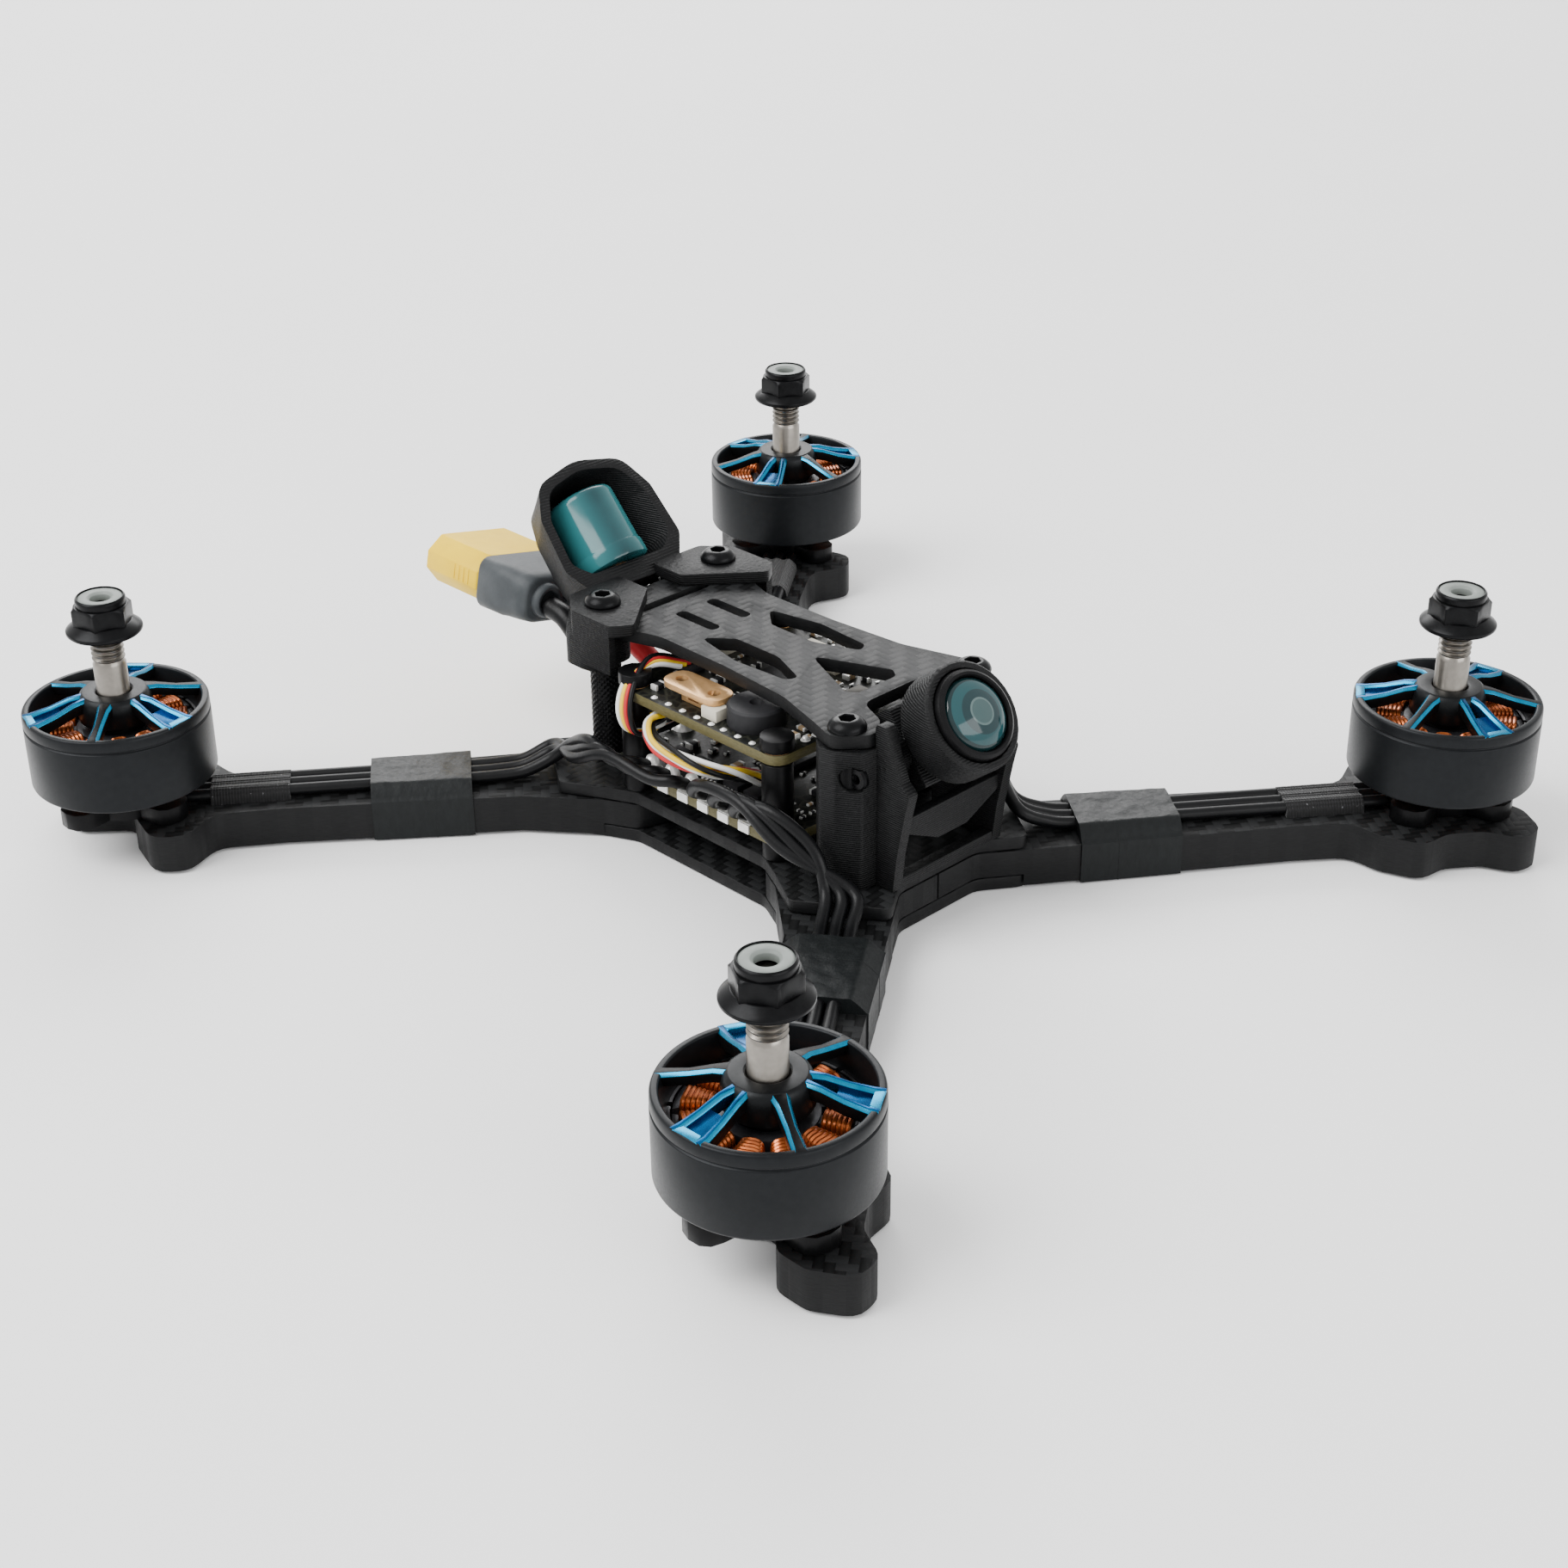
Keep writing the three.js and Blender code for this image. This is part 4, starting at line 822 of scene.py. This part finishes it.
def add_stator(name, centre):
    low, high = span(f"stator_{name}")
    place = Matrix.Translation((centre.x, centre.y, 0))
    core = Sculpt()
    core.lathe([(4.3, low.z + 1), (6.2, low.z + 1), (6.2, high.z - 1), (4.3, high.z - 1), (4.3, low.z + 1)],
               LAMINATION, place, 48)
    coils = Sculpt()
    teeth = 12
    for tooth in range(teeth):
        turn = place @ Matrix.Rotation(TAU * tooth / teeth, 4, "Z")
        stem = [(5.9, -0.85), (10.7, -0.85), (10.7, 0.85), (5.9, 0.85)]
        core.prism(stem, low.z + 1.2, high.z - 1.2, LAMINATION, turn)
        shoe = [(10.5 * math.cos(a), 10.5 * math.sin(a)) for a in (-0.2, -0.1, 0, 0.1, 0.2)]
        shoe += [(11.28 * math.cos(a), 11.28 * math.sin(a)) for a in (0.22, 0.11, 0, -0.11, -0.22)]
        core.prism(shoe, low.z + 1.2, high.z - 1.2, LAMINATION, turn)
        for wind in range(6):
            radius = 6.9 + wind * 0.62
            half_width = 1.2 + wind * 0.11
            coils.hoop(winding_loop(radius, half_width, low.z + 0.45, high.z - 0.45), 0.33, COPPER, 7, turn)
    core.piece(f"stator_{name}_core", "airframe", "steel", (f"stator_{name}",), bevel=0.06)
    coils.piece(f"windings_{name}", "airframe", "copper")


def add_motors():
    for name in QUARTERS:
        centre = middle(f"shaft_{name}")
        add_bell(name, centre)
        add_shaft(name, centre)
        add_nut(name, centre)
        add_stator(name, centre)
        refined(f"motor_base_{name}", DARK_METAL, 0.25)


# ---- motor leads and wraps -------------------------------------------------------------------
LEAD_PITCH = 2.15
LEAD_RADIUS = 0.95
PAD_PITCH = 4.4
ARM_ANGLE = math.radians(ARM_TURN)
arm_low, arm_high = span("arm_front_left")
ARM_TOP = arm_high.z
ARM_BOTTOM = arm_low.z
LEAD_LEVEL = ARM_TOP + 0.25 + LEAD_RADIUS
MID_TOP = span("mid_plate")[1].z
ESC_BOTTOM = span("esc_board")[0].z
BOARD_THICK = 1.6
ESC_TOP = ESC_BOTTOM + BOARD_THICK
FC_TOP = span("signal_bracket")[0].z - 0.1


def arm_half(distance):
    return 5.9 + (distance - 20) * math.tan(math.radians(2))


def on_arm(name, along, aside, level):
    """A point in the arm's own directions: along runs outward through the motor axis."""
    sx, sy = QUARTERS[name]
    motor = middle(f"shaft_{name}")
    cos, sin = math.cos(ARM_ANGLE), math.sin(ARM_ANGLE)
    x = motor.x + sx * (along * cos + aside * sin)
    y = motor.y + sy * (along * sin - aside * cos)
    return Vector((x, y, level))


def lead_route(name, lane):
    sx, sy = QUARTERS[name]
    crest = 20.5 if sy < 0 else 17.5
    pad = PAD_PITCH * (1.5 + lane)
    aside = lane * LEAD_PITCH
    return [
        on_arm(name, -9, aside, LEAD_LEVEL),
        on_arm(name, -20, aside, LEAD_LEVEL),
        on_arm(name, -40, aside, LEAD_LEVEL),
        on_arm(name, -57, aside, LEAD_LEVEL),
        on_arm(name, -61, aside, LEAD_LEVEL + 0.5),
        on_arm(name, -65.5, aside, MID_TOP + LEAD_RADIUS + 0.7),
        Vector((sx * (20.5 - lane * 1.3), sy * (24.5 + lane * 2), crest * 0.76)),
        Vector((sx * (21.6 - lane * 0.6), sy * (17 + lane * 2.6), crest - 0.6)),
        Vector((sx * 21.4, sy * (pad + 3), crest - 1.6)),
        Vector((sx * 19.9, sy * pad, ESC_TOP + 2.6)),
        Vector((sx * 17.4, sy * pad, ESC_TOP + LEAD_RADIUS + 0.25)),
    ]


def sleeve_section(name, distance, half_width, floor, crown, bumps):
    """Across the three leads at one distance from the motor: flat below, soft ridges above."""
    points = []
    steps = 28
    for k in range(steps + 1):
        aside = -half_width + 2 * half_width * k / steps
        ridge = math.cos(TAU * aside / LEAD_PITCH) * 0.5 + 0.5
        fall = math.sqrt(max(0.0, 1 - (abs(aside) / half_width) ** 6))
        points.append(on_arm(name, -distance, aside, floor + (crown - bumps * (1 - ridge)) * fall))
    points += [on_arm(name, -distance, half_width * t, floor) for t in (0.9, 0.3, -0.3, -0.9)]
    return points


def add_leads():
    for name, (sx, sy) in QUARTERS.items():
        wires = Sculpt()
        for lane in (-1, 0, 1):
            wires.tube(through(lead_route(name, lane), 8), LEAD_RADIUS, BLACK_RUBBER, 16)
        wires.piece(f"leads_{name}", "airframe", "black_silicone", (f"motor_leads_{name}",))
        sleeve = Sculpt()
        rings = []
        for k in range(25):
            half_width = 3.75 - 0.15 * abs(math.sin(k))
            rings.append(sleeve_section(name, 12.6 + 0.5 * k, half_width, ARM_TOP + 0.08, 2.35, 0.3))
        sleeve.loft(rings, BRAID[-sx * sy])
        sleeve.piece(f"lead_sleeve_{name}", "airframe", "black_silicone", crease=60)


def wrap_section(name, distance, seed):
    """Round the arm and its leads at one distance, a little creased."""
    half = arm_half(distance) + 0.2
    top = LEAD_LEVEL + LEAD_RADIUS + 0.25
    shoulder = ARM_TOP + 0.2
    points = []
    steps = 40
    for k in range(steps + 1):
        aside = -half + 2 * half * k / steps
        near = max(0.0, 1 - (abs(aside) / (half * 0.97)) ** 2.6)
        crease = noise.noise(Vector((distance * 0.45, aside * 0.5, seed))) * 0.16
        points.append((aside, shoulder + (top - shoulder) * min(1.0, near * 1.5) + crease * near))
    for depth in (0.25, 0.5, 0.75, 1.0):
        crease = noise.noise(Vector((distance * 0.5, depth * 4, seed + 5))) * 0.08
        points.append((half + crease * 0.6, shoulder + (ARM_BOTTOM - 0.25 - shoulder) * depth))
    for k in range(1, 8):
        points.append((half - 2 * half * k / 8, ARM_BOTTOM - 0.25))
    for depth in (1.0, 0.75, 0.5, 0.25):
        crease = noise.noise(Vector((distance * 0.5, depth * 4, seed + 9))) * 0.08
        points.append((-half - crease * 0.6, shoulder + (ARM_BOTTOM - 0.25 - shoulder) * depth))
    return [on_arm(name, -distance, aside, level) for aside, level in points]


def add_wraps():
    for index, (name, (_, sy)) in enumerate(QUARTERS.items()):
        start = 41.5 if sy < 0 else 37.0
        length = 15.5
        rows = 32
        rings = [wrap_section(name, start + length * k / rows, index * 11.0) for k in range(rows + 1)]
        wrap = Sculpt().loft(rings, TAPE)
        tail = [wrap_section(name, start + length * (0.62 + 0.01 * k), index * 11.0) for k in range(2)]
        grown = []
        for ring in tail:
            core = sum(ring, Vector()) / len(ring)
            grown.append([core + (p - core) * 1.006 for p in ring])
        wrap.loft(grown, TAPE)
        wrap.piece(f"tape_wrap_{name}", "airframe", "tape", (f"arm_wrap_{name}",), crease=60)


# ---- boards ----------------------------------------------------------------------------------
# Length, width and height of the small capacitors and resistors.
SMALL_PARTS = ((1.0, 0.5, 0.35), (1.6, 0.8, 0.5), (1.6, 0.8, 0.75), (2.0, 1.25, 0.8))
# From the middle of the stack to each of its posts, along X and along Y.
POST_REACH = 15.25


def board_sheet(sculpt, half_x, half_y, bottom):
    """A board with rounded corners and plated corner holes."""
    sculpt.prism(rounded_outline(half_x, half_y, 2.4), bottom, bottom + BOARD_THICK, CIRCUIT)
    for name in QUARTERS:
        post = middle(f"stack_post_{name}")
        place = Matrix.Translation((post.x, post.y, 0))
        top = bottom + BOARD_THICK
        sculpt.lathe([(1.6, bottom - 0.03), (2.2, bottom - 0.03), (2.2, top + 0.03), (1.6, top + 0.03),
                      (1.6, bottom - 0.03)], GOLD, place, 32)


def scatter(sculpt, seed, half_x, half_y, level, count, keep_clear):
    """Small capacitors and resistors with bright ends, laid on a half-millimetre grid."""
    rng = random.Random(seed)
    taken = list(keep_clear)
    for _ in range(count):
        x = round(rng.uniform(-half_x, half_x) * 2) / 2
        y = round(rng.uniform(-half_y, half_y) * 2) / 2
        if any(abs(x - cx) < wx and abs(y - cy) < wy for cx, cy, wx, wy in taken):
            continue
        along = rng.random() < 0.5
        length, width, height = rng.choice(SMALL_PARTS)
        turn = 0.0 if along else math.pi / 2
        body = rng.choice((CHIP, CERAMIC, CERAMIC, CHIP))
        sculpt.block((x, y, level + height / 2), (length * 0.6, width, height), body, turn)
        direction = Vector((1, 0, 0)) if along else Vector((0, 1, 0))
        for hand in (1, -1):
            end = Vector((x, y, level + height / 2)) + direction * hand * length * 0.4
            sculpt.block(end, (length * 0.22, width * 1.04, height * 1.03), SOLDER, turn)
        taken.append((x, y, length * 0.9 + 0.6, length * 0.9 + 0.6))


def chip_with_legs(sculpt, x, y, level, width, depth, height, legs):
    sculpt.block((x, y, level + height / 2 + 0.08), (width, depth, height), CHIP)
    pitch = (depth - 0.8) / max(1, legs - 1)
    for k in range(legs):
        for hand in (1, -1):
            offset = -(depth - 0.8) / 2 + k * pitch
            leg = (x + hand * (width / 2 + 0.25), y + offset, level + 0.12)
            sculpt.block(leg, (0.7, pitch * 0.5, 0.2), SOLDER)


def solder_blob(sculpt, x, y, level, radius, height):
    """A pad with a rounded mound of solder on it."""
    dome = [
        (radius * 1.25, level), (radius * 1.25, level + 0.06), (radius, level + 0.1),
        (radius * 0.92, level + height * 0.45), (radius * 0.62, level + height * 0.85),
        (0, level + height),
    ]
    sculpt.lathe([(0, level), *dome], SOLDER, Matrix.Translation((x, y, 0)), 18)


def add_speed_controller():
    low, high = span("esc_board")
    sheet = Sculpt()
    half_x, half_y = (high.x - low.x) / 2, (high.y - low.y) / 2
    board_sheet(sheet, half_x, half_y, ESC_BOTTOM)
    sheet.piece("speed_controller_board", "airframe", "circuit_board", ("esc_board",), bevel=0.05)
    parts = Sculpt()
    clear = [(0, 0, 7, 6)]
    for sx in (1, -1):
        for k in range(6):
            y = PAD_PITCH * (k - 2.5)
            chip_with_legs(parts, sx * 10.9, y, ESC_TOP, 3.2, 3.1, 0.95, 4)
            clear.append((sx * 10.9, y, 3.4, 2.8))
            clear.append((sx * 16.0, y, 2.6, 2.6))
    chip_with_legs(parts, 0, -1.5, ESC_TOP, 7, 7, 1.0, 9)
    for sx, sy in QUARTERS.values():
        clear.append((sx * POST_REACH, sy * POST_REACH, 3.6, 3.6))
    clear += [(3.5, 17, 3.6, 4.4), (-3.5, 17, 3.6, 4.4)]
    scatter(parts, 3, half_x - 1.2, half_y - 1.2, ESC_TOP, 420, clear)
    parts.piece("speed_controller_parts", "airframe", "circuit_board", bevel=0.04)
    joints = Sculpt()
    for sx in (1, -1):
        for k in range(6):
            y = PAD_PITCH * (k - 2.5)
            solder_blob(joints, sx * 16.2, y, ESC_TOP, 1.35, 2.6)
            joints.block((sx * (half_x + 0.1), y, ESC_BOTTOM + 0.85), (0.3, 2.2, 1.4), SOLDER)
            joints.block((sx * (half_x - 0.7), y, ESC_TOP + 0.05), (1.5, 2.4, 0.1), SOLDER)
        solder_blob(joints, sx * 3.5, 18.0, ESC_TOP - 0.9, 2.0, 2.6)
    joints.piece("speed_controller_solder", "airframe", "solder", crease=50)


def add_flight_controller():
    half = 17.6
    sheet = Sculpt()
    board_sheet(sheet, half, half, FC_TOP - BOARD_THICK)
    sheet.piece("flight_controller_board", "airframe", "circuit_board", ("fc_board",), bevel=0.05)
    parts = Sculpt()
    chip_with_legs(parts, 0, 0, FC_TOP, 7.4, 7.4, 0.9, 12)
    chip_with_legs(parts, 8.6, 8.2, FC_TOP, 4.0, 4.6, 0.9, 6)
    chip_with_legs(parts, -6.6, 12.6, FC_TOP, 3.4, 3.0, 0.8, 4)
    parts.block((9.4, 0, FC_TOP + 1.1), (3.8, 8.8, 2.2), SOCKET)
    parts.block((0, 14.6, FC_TOP + 1.25), (7.0, 4.2, 2.5), SOCKET)
    parts.block((0, -14.5, FC_TOP + 1.2), (8.8, 4.2, 2.4), STEEL)
    parts.block((-14.6, -1.6, FC_TOP + 0.9), (2.6, 3.2, 1.8), SOCKET)
    for k in range(7):
        parts.block((-2.4 + 0.8 * k, 16.3, FC_TOP + 1.1), (0.34, 1.4, 0.9), GOLD)
    clear = [
        (0, 0, 5.4, 5.4), (8.6, 8.2, 4.0, 3.6), (-6.6, 12.6, 3.4, 2.8), (9.4, 0, 3.2, 5.4),
        (0, 14.6, 4.8, 3.2), (0, -14.5, 5.6, 3.2), (-13.1, 3.6, 3.6, 7.4), (-11.6, -7.2, 5.4, 5.4),
        (-14.6, -1.6, 2.2, 2.4),
    ]
    clear += [(sx * POST_REACH, sy * POST_REACH, 3.6, 3.6) for sx, sy in QUARTERS.values()]
    scatter(parts, 8, half - 1.3, half - 1.3, FC_TOP, 520, clear)
    parts.lathe([(0, FC_TOP), (4.3, FC_TOP), (4.35, FC_TOP + 0.2), (4.35, FC_TOP + 3.0), (4.0, FC_TOP + 3.3),
                 (1.0, FC_TOP + 3.4), (0.8, FC_TOP + 2.6), (0, FC_TOP + 2.6)], CHIP,
                Matrix.Translation((-11.6, -7.2, 0)), 48)
    parts.piece("flight_controller_parts", "airframe", "circuit_board", bevel=0.05)
    joints = Sculpt()
    for k in range(8):
        solder_blob(joints, -16.6, -11.5 + 3.0 * k if k < 3 else -12.2 + 3.1 * k, FC_TOP, 0.42, 0.3)
        solder_blob(joints, 16.4, -10.5 + 3.0 * k, FC_TOP, 0.62, 0.8)
    for k in range(5):
        solder_blob(joints, -10.5 + 2.2 * k if k < 3 else 3.0 + 2.2 * k, -16.2, FC_TOP, 0.6, 0.7)
    joints.piece("flight_controller_solder", "airframe", "solder", crease=50)
    refined("signal_bracket", GOLD, 0.12)


SIGNAL_RADIUS = 0.42
HARNESS = [
    (-14.4, 11.0, 22.9), (-15.4, 9.5, 22.6), (-18.6, 8.6, 22.4), (-20.4, 5.5, 21.6), (-20.8, 0.0, 21.2),
    (-19.8, -4.5, 20.8), (-16.6, -6.7, 19.6), (-12.6, -6.7, 17.6), (-9.8, -6.2, 16.2),
]


def add_harness():
    """Thin signal wires that leave the top board, hang beside the stack and go in below."""
    centre_line = through(HARNESS, 8)
    colours = (YELLOW_RUBBER, WHITE_RUBBER, RED_RUBBER, BLACK_RUBBER, YELLOW_RUBBER, WHITE_RUBBER,
               BLACK_RUBBER)
    harness = Sculpt()
    for index, material in enumerate(colours):
        path = []
        for k, (point, side, up) in enumerate(frames_along(centre_line)):
            angle = TAU * index / len(colours) + k * 0.085
            spread = 0.95 + 0.5 * math.sin(k * 0.11 + index * 1.7)
            path.append(point + (side * math.cos(angle) + up * math.sin(angle)) * spread)
        harness.tube(path, SIGNAL_RADIUS, material, 10)
    for index, material in enumerate((WHITE_RUBBER, YELLOW_RUBBER, RED_RUBBER, BLACK_RUBBER)):
        lift = index * 0.9
        path = through([
            (-8.0 + lift, 13.0, FC_TOP + 1.0),
            (-12.0, 14.4 + lift * 0.3, FC_TOP + 2.2 + lift * 0.4),
            (-17.0, 15.4 - lift * 0.7, FC_TOP + 1.0),
            (-19.4, 14.6 - lift, 23.6),
            (-19.0, 13.6 - lift, 20.6),
            (-15.6, 12.2 - lift, 19.4 + lift * 0.4),
            (-11.0, 11.0 - lift * 0.6, 19.6 + lift * 0.4),
        ], 6)
        harness.tube(path, SIGNAL_RADIUS, material, 10)
    harness.piece("signal_wires", "airframe", "red_silicone", ("signal_harness",), crease=60)


# ---- camera ----------------------------------------------------------------------------------
CAMERA_TILT = math.radians(38)
PIVOT = next(Vector(j["pos_m"]) / MM for j in frame["joints"] if j["name"] == "camera_tilt")
LENS_PLACE = Matrix.Translation(PIVOT) @ Matrix.Rotation(math.pi / 2 - CAMERA_TILT, 4, "X")
LENS_GLASS = coated_glass("lens_glass", PIVOT, CAMERA_TILT)


def add_camera_unit():
    refined("camera_cage", PRINTED, 0.3)
    refined("camera_body", PRINTED, 0.3, "camera")
    barrel = Sculpt()
    barrel.lathe([
        (0, 2.55), (5.6, 2.55), (5.65, 5.5), (6.4, 5.8), (6.7, 6.1), (6.7, 7.5), (6.5, 7.65), (6.5, 8.0),
        (6.7, 8.15), (6.7, 11.0), (6.5, 11.5), (6.1, 11.8), (5.7, 11.8), (5.52, 11.5), (5.45, 10.8),
        (4.5, 10.3), (4.4, 9.8), (3.7, 9.4), (3.6, 8.9), (3.0, 8.6), (2.9, 8.2), (0, 8.1),
    ], DARK_METAL, LENS_PLACE, 96)
    barrel.piece("lens_barrel_turned", "camera", "lens_barrel", ("camera_lens",), crease=25)
    glass = Sculpt()
    outer = [(5.42, 10.9), (5.38, 11.3), (4.9, 11.75), (4.0, 12.25), (2.8, 12.62), (1.4, 12.82), (0, 12.88)]
    inner = [(0, 12.4), (1.5, 12.32), (3.0, 12.0), (4.3, 11.45), (5.1, 10.95), (5.42, 10.9)]
    glass.lathe([*outer, *inner], LENS_GLASS, LENS_PLACE, 96)
    glass.piece("lens_dome", "camera", "lens_glass", crease=60)
    screws = Sculpt()
    for sx in (1, -1):
        seat = Matrix.Translation((sx * 13.4, PIVOT.y + 0.4, PIVOT.z - 1.4))
        place = seat @ Matrix.Rotation(sx * math.pi / 2, 4, "Y")
        screws.lathe([
            (0, 0), (1.75, 0), (1.75, 0.5), (1.5, 0.85), (0.8, 0.9), (0.75, 0.4), (0, 0.4),
        ], BLACK_STEEL, place, 32)
    screws.piece("cage_side_screws", "airframe", "black_steel")


# ---- antenna ---------------------------------------------------------------------------------
ANTENNA_TILT = math.radians(47)
ANTENNA_CENTRE = Vector((0, 41.6, 38.1))


def add_antenna():
    refined("antenna_mount", PRINTED, 0.3)
    place = Matrix.Translation(ANTENNA_CENTRE) @ Matrix.Rotation(ANTENNA_TILT - math.pi / 2, 4, "X")
    shell = Sculpt()
    shell.lathe([
        (0, -6.5), (5.5, -6.5), (6.0, -6.3), (6.1, -6.0), (6.1, -4.1), (5.95, -3.8), (5.85, -3.6), (5.8, 5.0),
        (5.7, 5.5), (5.35, 5.95), (4.7, 6.25), (0, 6.4),
    ], TEAL_SHELL, place, 96)
    shell.piece("antenna_shell", "airframe", "antenna_shell", ("antenna_capsule",), crease=30)
    stem = Sculpt()
    stem.lathe([(0, -8.4), (2.0, -8.4), (2.2, -8.2), (2.2, -6.7), (2.6, -6.55), (0, -6.55)], GOLD, place, 32)
    stem.piece("antenna_stem", "airframe", "gold_metal")


# ---- studio ----------------------------------------------------------------------------------
def add_light(name, place, target, size, power, colour=(1, 1, 1)):
    data = bpy.data.lights.new(name, "AREA")
    data.shape = "RECTANGLE"
    data.size, data.size_y = size
    data.energy = power
    data.color = colour
    lamp = bpy.data.objects.new(name, data)
    lamp.location = place
    lamp.rotation_euler = (Vector(target) - Vector(place)).to_track_quat("-Z", "Y").to_euler()
    bpy.context.scene.collection.objects.link(lamp)


def add_studio():
    data = bpy.data.meshes.new("floor")
    reach = 6.0
    corners = [(-reach, -reach, 0), (reach, -reach, 0), (reach, reach, 0), (-reach, reach, 0)]
    data.from_pydata(corners, [], [(0, 1, 2, 3)])
    floor = bpy.data.objects.new("floor", data)
    floor.location.z = cad_bounds[0][2] - 0.0002
    bpy.context.scene.collection.objects.link(floor)
    pale = Surface("studio_floor", (0.86, 0.86, 0.86), 0.7)
    pale.set("Base Color", pale.mix(pale.noise(0.01, 2), (0.84, 0.84, 0.84), (0.88, 0.88, 0.88)))
    data.materials.append(pale.material)
    world = bpy.data.worlds.new("studio")
    world.use_nodes = True
    world.node_tree.nodes["Background"].inputs["Color"].default_value = (1, 1, 1, 1)
    world.node_tree.nodes["Background"].inputs["Strength"].default_value = 1.25
    bpy.context.scene.world = world
    target = (0, 0, 0.02)
    add_light("key", (-0.75, 0.35, 1.0), target, (0.9, 0.9), 24)
    add_light("back", (0.7, 0.9, 0.7), target, (1.0, 0.6), 14)
    add_light("front", (0.1, -1.2, 0.55), target, (1.1, 0.5), 8)


add_frame()
add_motors()
add_leads()
add_wraps()
add_speed_controller()
add_flight_controller()
add_harness()
add_camera_unit()
add_antenna()
add_studio()
